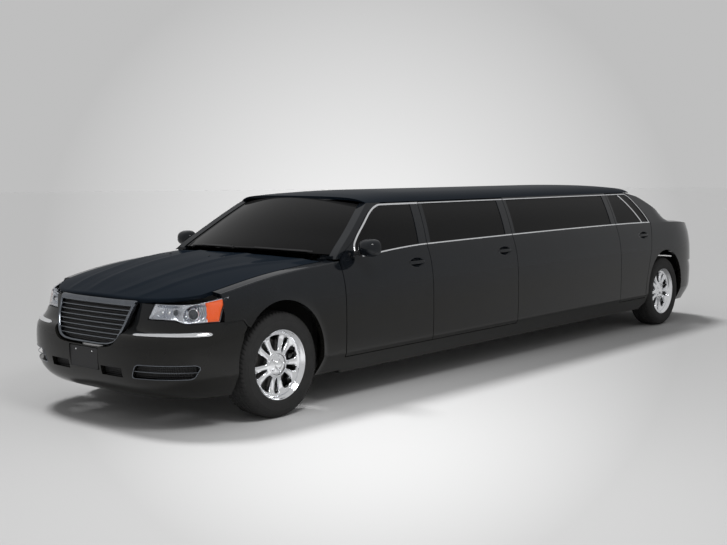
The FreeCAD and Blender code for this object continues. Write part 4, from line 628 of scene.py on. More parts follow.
def carried(path, out, profile):
    """A closed profile of (across, out) points carried along a path: across lies square to the run and to
    out."""
    run = np.gradient(path, axis=0)
    run /= np.linalg.norm(run, axis=-1, keepdims=True)
    across = np.cross(out, run)
    across /= np.linalg.norm(across, axis=-1, keepdims=True)
    lift = np.cross(run, across)
    profile = np.array(profile, float)
    if profile.ndim == 2:
        profile = np.broadcast_to(profile, (len(path), *profile.shape))
    return path[:, None] + profile[..., :1] * across[:, None] + profile[..., 1:] * lift[:, None]


def shell(name, rings, material, body, slot, looped=False, sharp=35):
    """A closed skin over a row of closed rings of points: its ends are capped unless the row is looped."""
    count, around = rings.shape[:2]
    faces = grid_quads(count, around, wrap_rows=looped, wrap_columns=True).tolist()
    if not looped:
        faces += [list(range(around))[::-1], list(range((count - 1) * around, count * around))]
    mesh = bpy.data.meshes.new(name)
    mesh.from_pydata(rings.reshape(-1, 3).tolist(), [], faces)
    welded(mesh, 0.00001, turned=True)
    mesh.set_sharp_from_angle(angle=math.radians(sharp))
    return placed(name, mesh, material, body)


def shells(name, rings, material, body, slot, **more):
    """A closed skin on the left and its twin on the right; body may hold %s for the side's name."""
    return [shell("%s_%s" % (name, hand), rings if hand == "left" else flipped(rings), material,
                  body.replace("%s", hand), slot, **more) for hand in ("left", "right")]


def evened(path, count, closed=False):
    """The path set out again in even steps. A closed one comes back to its first point."""
    if closed:
        path = np.concatenate([path, path[:1]])
    reach = np.concatenate([[0], np.cumsum(np.linalg.norm(np.diff(path, axis=0), axis=1))])
    even = np.linspace(0, reach[-1], count, endpoint=not closed)
    return np.stack([np.interp(even, reach, path[:, k]) for k in range(path.shape[1])], axis=1)


def eased(path, rounds, count):
    """A path evened and averaged with its neighbours (1, 2, 1) a few times, so that its corners are
    rounded."""
    for _ in range(rounds):
        path = evened(path, count)
        path[1:-1] = (path[:-2] + 2 * path[1:-1] + path[2:]) / 4
    return path


def eased_loop(path, rounds):
    """A closed path averaged with its neighbours in the same way."""
    for _ in range(rounds):
        path = (np.roll(path, 1, 0) + 2 * path + np.roll(path, -1, 0)) / 4
    return path


def full_turn(count):
    """Angles spread evenly round a circle."""
    return np.linspace(0, 2 * math.pi, count, endpoint=False)


def oval(half_width, half_height, count):
    """A closed profile: an ellipse."""
    turn = full_turn(count)
    return np.stack([np.cos(turn) * half_width, np.sin(turn) * half_height], -1)


def strip_profile(half, height):
    """A flat-backed strip with a domed face: its height falls off as the fourth power across."""
    across = np.linspace(-1, 1, 9)
    face = np.stack([half * across, height * (1 - 0.75 * across ** 4)], axis=1)
    return np.concatenate([[(-half, -0.002)], face, [(half, -0.002)]])


def behind(shut, z):
    """The station where a strip starts behind a shut line."""
    return float(shut(z)) + SHUT_GAP / 2 + TRIM_GAP


def ahead(shut, z):
    """The station where a strip ends ahead of a shut line."""
    return float(shut(z)) - SHUT_GAP / 2 - TRIM_GAP


def side_strip(name, x, z, body, half, height):
    """A chromed strip along a line on the side."""
    here, out = side_run(np.asarray(x), np.asarray(z))
    return shells(name, carried(here, out, strip_profile(half, height)), CHROME, body, "chrome")


rise = np.linspace(1.064, 1.372, 40)
up_pillar = np.stack([front_window_edge(rise) - 0.009, rise], 1)
along_top = np.stack([np.linspace(1.275, ahead(front_shut, TRIM_LEVEL), 20), np.full(20, TRIM_LEVEL)], 1)
path = eased(np.concatenate([up_pillar, along_top]), 5, 110)
side_strip("front_window_trim", path[:, 0], path[:, 1], "door_front_%s", *WIDE_TRIM)
for name, (front, rear, _, _) in DOOR_EDGES.items():
    start = 0.872 if name == "front" else float(front(BELT_LEVEL)) + TRIM_GAP
    x = np.linspace(start, float(rear(BELT_LEVEL)) - (0.012 if name == "rear" else TRIM_GAP), 60)
    side_strip("belt_trim_" + name, x, belt_sill(x) - BELT_TRIM_DROP, "door_%s_%%s" % name, *BELT_TRIM)
for name, start, end, count, body in (("second", front_shut, second_shut, 50, "door_second_%s"),
                                      ("centre", second_shut, rear_shut, 70, "body")):
    x = np.linspace(behind(start, TRIM_LEVEL), ahead(end, TRIM_LEVEL), count)
    side_strip("roof_trim_" + name, x, np.full(count, TRIM_LEVEL), body, *NARROW_TRIM)
x = np.linspace(behind(second_shut, BELT_LEVEL), ahead(rear_shut, BELT_LEVEL), 70)
side_strip("belt_trim_centre", x, belt_sill(x) - BELT_TRIM_DROP, "body", *BELT_TRIM)
start = behind(rear_shut, TRIM_LEVEL)
rear_glass_end = DOOR_EDGES["rear"][3]
corner = float(rear_glass_end(1.372))
fall = np.linspace(1.366, 1.096, 40)
path = np.concatenate([np.stack([np.linspace(start, corner - 0.03, 20), np.full(20, TRIM_LEVEL)], 1),
                       np.stack([rear_glass_end(fall) + 0.009, fall], 1)])
path = eased(path, 4, 90)
side_strip("rear_window_trim", path[:, 0], path[:, 1], "door_rear_%s", *NARROW_TRIM)
bar_z = np.linspace(1.098, 1.378, 16)
bar_x = rear_glass_end(bar_z) - 0.150 - 0.10 * (bar_z - bar_z[0])
side_strip("rear_division", bar_x, bar_z, "door_rear_%s", *DIVISION_TRIM)

# Glass: heavily tinted panes, bonded into their frames. They look black from outside, and a band along
# their top edge is a little greyer, a painted sky reflection.


def tinted_glass():
    """Nearly opaque smoked glass: greyer at its head and black below, by the height on the car, as a
    painted sky reflection.
    """
    glass = Finish("smoked_glass")
    # Painted sky reflection: the tone rises from near black at 1.20 m to grey at 1.42 m.
    painted_sky_band = ((glass.axis("Z") - 1.20) * (1 / 0.22)).at_least(0).at_most(1)
    streak = glass.noise(3.0, 3.0)
    tone = glass.mix(painted_sky_band ** 1.4 * (0.9 + 0.2 * streak), (0.004, 0.004, 0.0045), (0.034, 0.034, 0.035))
    glass.set(Base_Color=tone, Roughness=0.03 + 0.03 * streak, IOR=1.36)
    glass.filmed(0.55, (0.008, 0.008, 0.008))
    return glass.material


GLASS = tinted_glass()
for name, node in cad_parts.items():
    if name.startswith("glass_") or name in ("windscreen", "rear_window"):
        node.data.materials.clear()
        node.data.materials.append(GLASS)

# Bonnet skin: the outer pressing, with two raised creases on each side that run from the windscreen's foot
# towards the grille. It lies on the bonnet's frame and lifts with it.
BONNET_HALF = 0.793
BONNET_CROWN = 0.052
BONNET_RISE = 0.016
BONNET_REACH = 0.802
BONNET_SKIN = 0.0016
BONNET_LIP = 0.024
BONNET_SHEET = 0.004
CREASES = (smooth_curve((-0.80, 0.170), (-0.60, 0.205), (-0.34, 0.225), (0, 0.240), (0.40, 0.262)),
           smooth_curve((-0.80, 0.452), (-0.48, 0.463), (-0.29, 0.481), (-0.116, 0.525), (0.059, 0.575),
                        (0.40, 0.668)))


def bonnet_height(x, y):
    """Height of the bonnet: a crown that falls off as the 2.4th power across, over the belt line. The crown
    grows by 10 mm towards the windscreen."""
    crown = BONNET_CROWN + 0.010 * np.clip((x + 0.800) / 0.900, 0, 1)
    return belt_line(x) + BONNET_RISE + crown * (1 - np.clip(np.abs(y) / BONNET_HALF, 0, 1) ** 2.4)


def bonnet_front(y):
    """The bonnet's front edge, on the same superellipse as the nose."""
    return -BONNET_REACH * (1 - np.clip(np.abs(y) / (BONNET_HALF + 0.066), 0,
                                        1) ** PLAN_POWER) ** (1 / PLAN_POWER)


def bonnet_rear(y):
    """The bonnet's rear edge, swept back towards its corners."""
    return 0.300 + 0.210 * (np.abs(y) / BONNET_HALF) ** 2.2


y, along = np.meshgrid(np.linspace(-BONNET_HALF, BONNET_HALF, 131), np.linspace(0, 1, 56), indexing="ij")
x = bonnet_front(y) + (bonnet_rear(y) - bonnet_front(y)) * along
z = bonnet_height(x, y) + BONNET_SKIN
for crease, height, reach in zip(CREASES, (0.0050, 0.0055), (0.060, 0.055)):
    away = np.abs(y) - crease(x)
    fade = smooth_step((x + 0.80) / 0.10) * (1 - 0.3 * smooth_step((x - 0.2) / 0.2))
    slope = np.where(away < 0, 0.55, 1.0)
    z = z + height * fade * np.clip(1 - np.abs(away) / (reach / slope), 0, 1) ** 1.3
y = np.where(x < 0, y * plan_share(x), y)
drop = np.linspace(1, 0, 5)[None, :]
lip_x = x[:, :1] - 0.004 * np.sin(math.pi * drop) - 0.001
lip = np.stack([lip_x + FRONT_AXLE, y[:, :1] + 0 * drop, z[:, :1] - BONNET_LIP * drop], -1)
top = np.stack([x + FRONT_AXLE, y, z], -1)
top[:, 0] = lip[:, -1]
bonnet_skin = piece("bonnet_skin", [np.concatenate([lip[:, :-1], top], 1)], SKY_FILMED_PAINT, "bonnet",
                    (0, 0, 1))
thicken(bonnet_skin, BONNET_SHEET)

# Washer jets: three nozzles near the bonnet's rear edge. Each is a low dome of black plastic, clipped into
# the skin.


def black_trim():
    """Moulded black plastic with a fine spark-eroded grain."""
    plastic = Finish("black_moulding")
    grain = plastic.noise(900, 2.0)
    tone = plastic.mix(plastic.noise(14, 3.0), (0.010, 0.010, 0.011), (0.018, 0.018, 0.019))
    plastic.set(Base_Color=tone, Roughness=0.45 + 0.15 * grain)
    plastic.bump(grain, 0.0002, 0.6)
    return plastic.material


MOULDING = black_trim()


def dome(centre, radii, up=(0, 0, 1), rings=10, count=24):
    """Rings of a low dome: radii shrink as the cosine and its height grows as the sine, about the direction
    up."""
    up = np.array(up, float) / np.linalg.norm(up)
    first = np.cross(up, [0, 1, 0] if abs(up[1]) < 0.9 else [1, 0, 0])
    first /= np.linalg.norm(first)
    second = np.cross(up, first)
    turn = full_turn(count)
    height = np.linspace(0, math.pi / 2 * 0.97, rings)[:, None, None]
    ring = radii[0] * np.cos(turn)[None, :, None] * first + radii[1] * np.sin(turn)[None, :, None] * second
    return np.array(centre) + ring * np.cos(height) + up * radii[2] * np.sin(height)


for k, (x, y) in enumerate(((0.124, -0.230), (0.124, -0.067), (0.184, 0.440))):
    shell("washer_jet_%d" % k, dome((x + FRONT_AXLE, y, float(bonnet_height(x, y))), (0.013, 0.008, 0.007)),
          MOULDING, "bonnet", "trim")

# Roof skin: the long outer pressing from the windscreen's header to the rear window's. It lies on the
# roof's shell and is welded to the rails along its sides.
ROOF_START = 1.030
ROOF_END = WHEELBASE - 0.270
ROOF_SKIN = 0.0009
ROOF_SHEET = 0.004
roof_line = smooth_curve((ROOF_START, 1.455), (1.300, 1.476), (1.800, 1.490), (4.600, 1.490),
                         (5.120, 1.482), (ROOF_END, 1.461))


def roof_height(x, ratio):
    """Height of the roof: it falls by 0.46 r^2 + 0.54 r^9 of the way to the rail, r being the share
    across."""
    return roof_line(x) - (roof_line(x) - RAIL) * (0.46 * ratio ** 2 + 0.54 * ratio ** 9)


turn, along = np.meshgrid(np.linspace(-math.pi / 2, math.pi / 2, 61), np.linspace(0, 1, 64), indexing="ij")
ratio = np.abs(np.sin(turn))
front = ROOF_START + 0.120 * ratio ** 2
x = front + (ROOF_END - 0.090 * ratio ** 2 - front) * along
roof = np.stack([x + FRONT_AXLE, RAIL_HALF_WIDTH * np.sin(turn), roof_height(x, ratio) + ROOF_SKIN], -1)
thicken(piece("roof_skin", [roof], SKY_FILMED_PAINT, "body", (0, 0, 1)), ROOF_SHEET)

# Nose: the bumper cover. The grille's mouth, the lamps' rooms and the fog pockets are cut in the pressing
# itself, and their bright parts are fixed over it.

def nose_at(y, z, depth=0.0):
    """Points on the nose by width and height. The nose line's reach is multiplied by (1 - r^3.6)^(1/3.6), r
    being the share across, and a depth moves the point inward."""
    ratio = np.clip(np.abs(y) / section(0.0, z), 0, 0.9999)
    x = -nose_line(z) * (1 - ratio ** PLAN_POWER) ** (1 / PLAN_POWER)
    here = np.stack([x + FRONT_AXLE, y + 0 * x, z + 0 * x], -1)
    if np.any(depth):
        inward = np.stack([np.ones_like(x), -(y + 0 * x) / 0.9, 0 * x], -1)
        here = here + inward / np.linalg.norm(inward, axis=-1, keepdims=True) * np.asarray(depth)[..., None]
    return here


def nose_run(y, z, lift=0.0):
    """A path over the nose and the directions straight out from it."""
    here = nose_at(y, z)
    out = np.cross(nose_at(y - 0.001, z) - here, nose_at(y, z + 0.001) - here)
    out /= np.linalg.norm(out, axis=-1, keepdims=True)
    return here + out * lift, out


# Bumper blades: a bright moulding along the ledge each side of the grille. Chromed plastic of a rounded
# section, closed at both ends and clipped on.
BLADE_INNER = 0.452
BLADE_OUTER = 0.889
run = np.linspace(0, 1, 60)
y = -(BLADE_INNER + (BLADE_OUTER - BLADE_INNER) * run)
z = 0.6235 + 0.006 * run
taper = np.sqrt(np.clip(1 - ((run - 0.5) / 0.5) ** 14, 0, 1))
here, out = nose_run(y, z, -0.002)
ring = full_turn(24)
profile = np.stack([np.sign(np.cos(ring)) * np.abs(np.cos(ring)) ** 0.7 * 0.0165,
                    0.004 + np.sin(ring) * 0.0085 + 0 * ring], -1)
blade = carried(here, out, profile[None] * taper[:, None, None])
shells("bumper_blade", blade, CHROME, "body", "chrome")

# Fog pockets: a black net for a floor, a thin frame round the mouth and one bar across it. All are moulded
# and clipped in, the frame and bar plated in smoked chrome. The two lower intakes have the same net.
FOG_BAR_LEVEL = 0.3935
FOG = [(0.470, 0.352), (0.505, 0.428), (0.530, 0.438), (0.848, 0.440), (0.862, 0.425), (0.838, 0.362),
       (0.820, 0.350), (0.480, 0.346)]


def grille_mesh():
    """Black plastic net: a raised lattice of lines 12 mm apart, worked out from sine waves, with painted
    shade in the gaps between the lines.
    """
    net = Finish("black_net")
    turn = math.pi / 0.012
    wires = (net.wave("Y", turn) ** 2).at_least(net.wave("Z", turn) ** 2)
    # Painted shade: the gaps between the wires are near black, for the shade behind the net, and the wires
    # dark grey.
    net.set(Base_Color=net.mix(wires ** 6, (0.001, 0.001, 0.001), (0.016, 0.016, 0.017)),
            Roughness=0.55 - 0.2 * wires)
    net.bump(wires ** 4, 0.004)
    return net.material


NET = grille_mesh()


def carried_loop(path, out, profile):
    """A closed profile carried round a closed path."""
    run = np.roll(path, -1, 0) - np.roll(path, 1, 0)
    run /= np.linalg.norm(run, axis=-1, keepdims=True)
    across = np.cross(out, run)
    across /= np.linalg.norm(across, axis=-1, keepdims=True)
    return path[:, None] + profile[None, :, :1] * across[:, None] + profile[None, :, 1:] * out[:, None]


mouth = eased_loop(evened(np.array(FOG) * [-1, 1], 140, closed=True), 3)
here, out = nose_run(mouth[:, 0], mouth[:, 1], -0.001)
shells("fog_frame", carried_loop(here, out, oval(0.003375, 0.003375, 8)), SMOKED, "body", "chrome",
       looped=True)
here, out = nose_run(-np.linspace(0.490, 0.852, 40), np.full(40, FOG_BAR_LEVEL), -0.006)
shells("fog_bar", carried(here, out, oval(0.0027, 0.0027, 8)), SMOKED, "body", "chrome")
u, v = np.meshgrid(np.linspace(0, 1, 30), np.linspace(0, 1, 10))
for name, y, z, depth in (("fog_floor", 0.470 + 0.395 * u, 0.345 + 0.096 * v, 0.030),
                          ("intake_floor", 0.172 + 0.219 * u, 0.338 + 0.068 * v, 0.034)):
    on_both_sides(name, [nose_at(-y, z, depth + 0 * u)], NET, outward=(-1, -0.6, 0),
                  shape=lambda item: thicken(item, 0.002, 0))

# Number plates: blank dark plates with a rolled edge, front and rear. Each is anodised sheet, held by two
# dome screws.


def plate_black():
    """Dark anodised plate: brushed along its length."""
    sheet = Finish("blank_plate")
    stretched = sheet.node("ShaderNodeMapping", Vector=sheet.here, Scale=(1, 6, 160))
    lines = sheet.node("ShaderNodeTexNoise", Vector=stretched.outputs[0], Scale=4.0, Detail=3.0)
    brush = Value(sheet.tree, lines.outputs["Fac"])
    sheet.set(Base_Color=sheet.mix(brush, (0.012, 0.012, 0.013), (0.030, 0.030, 0.032)), Metallic=0.4,
              Roughness=0.28 + 0.15 * brush)
    sheet.bump(brush, 0.0001)
    return sheet.material


PLATE = plate_black()
PLATE_HALF = (0.152, 0.072)
SCREW_REACH = 0.089
SCREW_RISE = 0.047


def rounded_box(half, corner, count=6):
    """The outline of a rectangle with round corners, as (across, up) points."""
    quarter = np.linspace(0, math.pi / 2, count)
    points = []
    for k, (sx, sy) in enumerate(((1, 1), (-1, 1), (-1, -1), (1, -1))):
        turn = quarter + k * math.pi / 2
        points.append(np.stack([sx * (half[0] - corner) + corner * np.cos(turn),
                                sy * (half[1] - corner) + corner * np.sin(turn)], 1))
    return np.concatenate(points)


def tray(name, x, z, outward, half, lip, thickness, material, slot):
    """A flat plate across the car with a rolled edge: rings shrink from the back edge over the lip to the
    face."""
    outline = rounded_box(half, 0.010)
    steps = [(0.0, 0.0), (0.0, thickness * 0.7), (0.0012, thickness), (lip, thickness),
             (lip + 0.0012, thickness * 0.75)]
    rings = []
    for inset, height in steps:
        share = (np.array(half) - inset) / np.array(half)
        rings.append(np.stack([np.full(len(outline), x + outward * height), outline[:, 0] * share[0],
                               z + outline[:, 1] * share[1]], 1))
    return shell(name, np.array(rings), material, "body", slot)


FRONT_PLATE_FLOOR = FRONT_AXLE - NOSE + 0.012
REAR_PLATE_FLOOR = FRONT_AXLE + WHEELBASE + TAIL - 0.012
for name, x, z, outward in (("front", FRONT_PLATE_FLOOR, 0.437, -1), ("rear", REAR_PLATE_FLOOR, 0.497, 1)):
    tray("plate_" + name, x, z, outward, PLATE_HALF, 0.005, 0.008, PLATE, "trim")
    for hand, y in (("left", -SCREW_REACH), ("right", SCREW_REACH)):
        screw = dome((x + outward * 0.006, y, z + SCREW_RISE), (0.006, 0.006, 0.004), (outward, 0, 0))
        shell("plate_screw_%s_%s" % (name, hand), screw, CHROME, "body", "chrome")

# Grille: a surround with a wide header, seven thin bars and a black net behind them. It is moulded and
# plated in smoked chrome, stands on the bonnet and lifts with it.
GRILLE_HALF = 0.406
GRILLE_TOP = 0.826
GRILLE_BOTTOM = 0.530
BARS_LOW = 0.548
BARS_HIGH = 0.792
GRILLE_SIDE = [(1.0, 1.0), (0.972, 0.80), (0.951, 0.70), (0.926, 0.53), (0.879, 0.35), (0.808, 0.175),
               (0.73, 0.075), (0.60, 0.02), (0.37, 0.0), (0.12, 0.0)]
grille_face = smooth_curve((0.500, -0.902), (0.520, -0.897), (0.556, -0.890), (0.600, -0.880),
                           (0.650, -0.866), (0.700, -0.850), (0.750, -0.831), (0.800, -0.811),
                           (0.830, -0.800))


def grille_at(y, z, depth):
    """Points on the grille's leaning face: it bows forward by 16 mm at the middle."""
    bow = 0.016 * (1 - (y / GRILLE_HALF) ** 2)
    return np.stack([grille_face(z) - bow + depth + FRONT_AXLE, y + 0 * z, z + 0 * y], -1)


half_run = [(GRILLE_HALF * a, GRILLE_BOTTOM + (GRILLE_TOP - GRILLE_BOTTOM) * b) for a, b in GRILLE_SIDE]
outline = np.array(half_run + [(-a, b) for a, b in half_run[::-1]]
                   + [(y, GRILLE_TOP) for y in (-0.2, 0, 0.2)])
ring_line = eased_loop(evened(outline, 260, closed=True), 5)
step = np.roll(ring_line, -1, 0) - np.roll(ring_line, 1, 0)
inward = np.stack([step[:, 1], -step[:, 0]], 1)
inward /= np.linalg.norm(inward, axis=1, keepdims=True)
middle = np.array([0, (GRILLE_TOP + GRILLE_BOTTOM) / 2])
inward *= np.sign(np.sum(inward * (middle - ring_line), axis=1))[:, None]
header = smooth_step((ring_line[:, 1] - 0.790) / 0.030)
width = 0.017 + 0.019 * header
rings = []
for share, depth in ((0.0, 0.030), (0.0, 0.004), (0.10, 0.0), (0.45, -0.0045), (0.80, -0.002), (1.0, 0.004),
                     (1.0, 0.030)):
    at = ring_line + inward * (width * share)[:, None]
    rings.append(grille_at(at[:, 0], at[:, 1], depth))
frame_shell = shell("grille_surround", np.array(rings).transpose(1, 0, 2), SMOKED, "bonnet", "chrome",
                    looped=True)
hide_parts("grille")


def grille_half_at(z):
    """Half-width of the grille's opening at a height."""
    table = np.array(half_run[::-1])
    order = np.argsort(table[:, 1], kind="stable")
    return np.interp(z, table[order, 1], table[order, 0]) - 0.013


for k in range(7):
    z = BARS_LOW + (BARS_HIGH - BARS_LOW) * (k + 1) / 8
    y = np.linspace(-1, 1, 50) * float(grille_half_at(z))
    here = grille_at(y, z + 0 * y, 0.010)
    out = np.broadcast_to(np.array([-0.97, 0, 0.24]), here.shape)
    blade = np.array([(-0.0042, -0.010), (-0.0046, -0.002), (-0.0030, 0.0035), (0, 0.0050),
                      (0.0030, 0.0035), (0.0046, -0.002), (0.0042, -0.010)])
    shell("grille_bar_%d" % (k + 1), carried(here, out, blade), SMOKED, "bonnet", "chrome")
u, v = np.meshgrid(np.linspace(-1, 1, 60), np.linspace(0, 1, 30))
z = GRILLE_BOTTOM + 0.004 + (GRILLE_TOP - GRILLE_BOTTOM - 0.008) * v
backing = grille_at(u * (grille_half_at(z) + 0.008), z, 0.027)
thicken(piece("grille_net", [backing], NET, "bonnet", (-1, 0, 0)), 0.0015, 0)

# Headlamps: a clear moulded lens over a chromed bowl, with a projector near the outer end and an amber
# reflector round the corner of the wing.
LAMP_INNER = 0.503
LAMP_OUTER = 0.8925
LAMP_SLANT = 0.0352
LAMP_LOW = smooth_curve((0.480, 0.714), (0.600, 0.7145), (0.690, 0.713), (0.725, 0.703), (0.758, 0.693),
                        (0.800, 0.696), (0.871, 0.701), (0.920, 0.701))


def lamp_top(y):
    """Upper edge of the lamp: a gap under the bonnet's lining."""
    x = nose_at(y, 0.800 + 0 * y)[..., 0] - FRONT_AXLE
    return bonnet_height(x, y) - 0.027


def lamp_patch(rows, columns, depth, margin=0.0):
    """Points over the lamp's face: u runs from its slanting inner edge outward and v from its lower edge
    up."""
    u, v = np.meshgrid(np.linspace(0, 1, columns), np.linspace(0, 1, rows))
    y_inner = LAMP_INNER + margin + LAMP_SLANT * v
    y = y_inner + (LAMP_OUTER - margin - y_inner) * u
    low, high = LAMP_LOW(y) + margin, lamp_top(y) - margin
    return nose_at(-y, low + (high - low) * v, depth(u, v) if callable(depth) else depth + 0 * u)


def clear_lens():
    """Clear polycarbonate, hard-coated, with a slight haze from the road."""
    lens = Finish("clear_lens")
    haze = lens.noise(30, 3.0)
    lens.set(Base_Color=(0.06, 0.065, 0.07), Roughness=0.02 + 0.03 * haze, IOR=1.5,
             Alpha=0.09 + 0.04 * haze)
    return lens.material


def lamp_bowl():
    """Vacuum-metallised bowl with fine vertical flutes."""
    bowl = Finish("lamp_reflector")
    wave = bowl.wave("Y", 520)
    bowl.set(Base_Color=bowl.mix(bowl.noise(30, 2.0), (0.92, 0.95, 1.0), (0.70, 0.73, 0.80)), Metallic=1.0,
             Roughness=0.07 + 0.03 * wave)
    bowl.bump(wave, 0.0012)
    return bowl.material


def amber_lens():
    """Moulded amber reflector: a net of small prisms, with painted light and shade across them and a weak
    painted glow.
    """
    amber = Finish("amber_reflector")
    turn = math.pi / 0.006
    prism = amber.wave("X", turn) * amber.wave("Z", turn)
    # Painted light: the prisms' tone swings lighter and darker with their pattern, and the weak amber
    # emission is a painted glow.
    amber.set(Base_Color=amber.mix(0.5 + 0.5 * prism, (0.90, 0.085, 0.004), (1.0, 0.16, 0.008)),
              Roughness=0.16, Emission_Color=(1.0, 0.10, 0.004), Emission_Strength=0.30)
    amber.bump(prism, 0.0008)
    return amber.material


LENS, BOWL, AMBER = clear_lens(), lamp_bowl(), amber_lens()
lens_items = on_both_sides("lamp_lens", [lamp_patch(22, 60, 0.0)], LENS, outward=(-1, -0.8, 0),
                           shape=lambda item: thicken(item, 0.003, 0))
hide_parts("headlamps")


def bowl_depth(u, v):
    """How far the bowl lies behind the lens: a long trough inboard and a round bowl about the projector."""
    edge = np.clip(np.minimum(np.minimum(u, 1 - u) / 0.06, np.minimum(v, 1 - v) / 0.22), 0, 1)
    trough = 0.030 * np.sin(math.pi * np.clip((u - 0.02) / 0.52, 0, 1)) * np.sin(math.pi * v)
    bowl = 0.042 * np.clip(1 - ((u - 0.725) / 0.150) ** 2 - ((v - 0.5) / 0.46) ** 2, 0, 1) ** 0.5
    return 0.006 + (0.012 + trough + bowl) * edge ** 0.7


on_both_sides("lamp_bowl", [lamp_patch(30, 90, bowl_depth, 0.002)], BOWL, outward=(-1, -0.8, 0),
              shape=lambda item: thicken(item, 0.0015, 0))


def lamp_spot(u, v, depth):
    """One point inside the left lamp, by its shares across and up and its depth behind the lens."""
    y = LAMP_INNER + (LAMP_OUTER - LAMP_INNER) * u
    z = float(LAMP_LOW(y) + (lamp_top(np.array(y)) - LAMP_LOW(y)) * v)
    here, out = nose_run(np.array([-y]), np.array([z]))
    return here[0] - out[0] * depth


def both_domes(name, spot, radii, material, slot, lean):
    """A dome on each side, at a spot of the lamp, leaning forward."""
    shells(name, dome(spot, radii, lean), material, "body", slot)


PROJECTOR_AT = (0.725, 0.50)
PROJECTOR_LEAN = (-0.9, -0.43, 0)
glass_eye = Finish("projector_eye")
glass_eye.set(Base_Color=glass_eye.mix(glass_eye.noise(40, 2.0), (0.02, 0.025, 0.03), (0.10, 0.11, 0.13)),
              Roughness=0.03, Specular_IOR_Level=0.9)
both_domes("projector_lens", lamp_spot(*PROJECTOR_AT, 0.040), (0.030, 0.030, 0.024), glass_eye.material,
           "glass", PROJECTOR_LEAN)
here = lamp_spot(*PROJECTOR_AT, 0.036)
out = np.array(PROJECTOR_LEAN) / np.linalg.norm(PROJECTOR_LEAN)
ring = oval(0.034, 0.034, 48)
path = here + ring[:, :1] * np.cross(out, [0, 0, 1]) + ring[:, 1:] * np.array([0, 0, 1])
ring_tube = carried_loop(path, np.broadcast_to(out, path.shape), oval(0.004, 0.006, 10))
shells("projector_ring", ring_tube, CHROME, "body", "chrome", looped=True)
both_domes("signal_bulb", lamp_spot(0.22, 0.50, 0.034), (0.012, 0.012, 0.018), CHROME, "chrome",
           (-1, -0.2, 0))
both_domes("side_eye", lamp_spot(0.34, 0.50, 0.034), (0.013, 0.013, 0.016), CHROME, "chrome",
           (-1, -0.25, 0))
both_domes("high_beam_eye", lamp_spot(0.46, 0.52, 0.030), (0.020, 0.020, 0.012), glass_eye.material,
           "glass", (-1, -0.3, 0))
u, v = np.meshgrid(np.linspace(0.84, 0.985, 16), np.linspace(0.02, 0.93, 14))
y = LAMP_INNER + (LAMP_OUTER - LAMP_INNER) * (u + 0.06 * (1 - v) * (1 - (u - 0.84) / 0.155))
low, high = LAMP_LOW(y), lamp_top(y)
on_both_sides("amber_reflector", [nose_at(-y, low + (high - low) * v, 0.0055 + 0 * u)], AMBER,
              outward=(-1, -0.8, 0), shape=lambda item: thicken(item, 0.003, 0))

# Wheels: chromed cast wheels with ten spokes in five pairs, a deep polished lip and a domed hub held by
# five nuts. The windows between the spokes are real openings, and a ventilated brake disc stands behind
# them.
HUB_HALF_TRACK = 0.805
HUB_HEIGHT = 0.358
SPOKE_EDGE = 0.0030
SPOKE_CROWN = 0.0035
SPOKE_DEPTH = 0.036
WHEELS = {"front_left": (0, -1), "front_right": (0, 1), "rear_left": (WHEELBASE, -1),
          "rear_right": (WHEELBASE, 1)}
RIM = [(0.2435, 0.1010), (0.2420, 0.1040), (0.2385, 0.1048), (0.2350, 0.1030), (0.2310, 0.0960),
       (0.2260, 0.0900), (0.2190, 0.0850), (0.2130, 0.0760), (0.2105, 0.0660), (0.2100, 0.0500),
       (0.2090, -0.0300), (0.2120, -0.0700), (0.2250, -0.0900), (0.2360, -0.1000), (0.2430, -0.1000),
       (0.2435, -0.0960), (0.2330, -0.0880), (0.2290, -0.0800), (0.2290, -0.0600), (0.2160, -0.0450),
       (0.2160, 0.0450), (0.2290, 0.0600), (0.2290, 0.0800), (0.2330, 0.0880)]
HUB_CAP = [(0, 0.0940), (0.016, 0.0935), (0.027, 0.0910), (0.031, 0.0860), (0.0325, 0.0800),
           (0.036, 0.0780), (0.048, 0.0775), (0.066, 0.0745), (0.076, 0.0690), (0.080, 0.0600),
           (0.080, 0.0300), (0, 0.0300)]
DISC = [(0.045, 0.007), (0.110, 0.007), (0.112, 0.002), (0.160, 0.002), (0.161, 0.001), (0.161, -0.005),
        (0.156, -0.006), (0.156, -0.008), (0.161, -0.009), (0.161, -0.015), (0.160, -0.016),
        (0.045, -0.016)]
spoke_level = smooth_curve((0.074, 0.073), (0.095, 0.065), (0.130, 0.056), (0.170, 0.055), (0.200, 0.062),
                           (0.212, 0.069))


def at_hub(station, hand, radius, turn, out):
    """Points about a wheel's axle, from the radius, the turn and the distance outward of the hub's
    plane."""
    y = hand * (HUB_HALF_TRACK + out) + 0 * radius * turn
    return np.stack([station + FRONT_AXLE + radius * np.cos(turn), y, HUB_HEIGHT + radius * np.sin(turn)],
                    -1)


def lathe(profile, station, hand, count):
    """Rings about a wheel's axle from a closed profile of (radius, out) points."""
    turn = full_turn(count)[:, None]
    profile = np.array(profile)
    return at_hub(station, hand, profile[None, :, 0], turn, profile[None, :, 1])


def window_half(radius, inner, outer):
    """Half a window's turn at a radius: its width grows evenly outward, and its ends are round as a
    superellipse."""
    width = inner + (outer - inner) * (radius - 0.092) / 0.107
    return width / 2 / radius * np.clip(1 - np.abs((radius - 0.1455) / 0.0535) ** 4, 0, 1) ** (1 / 4)


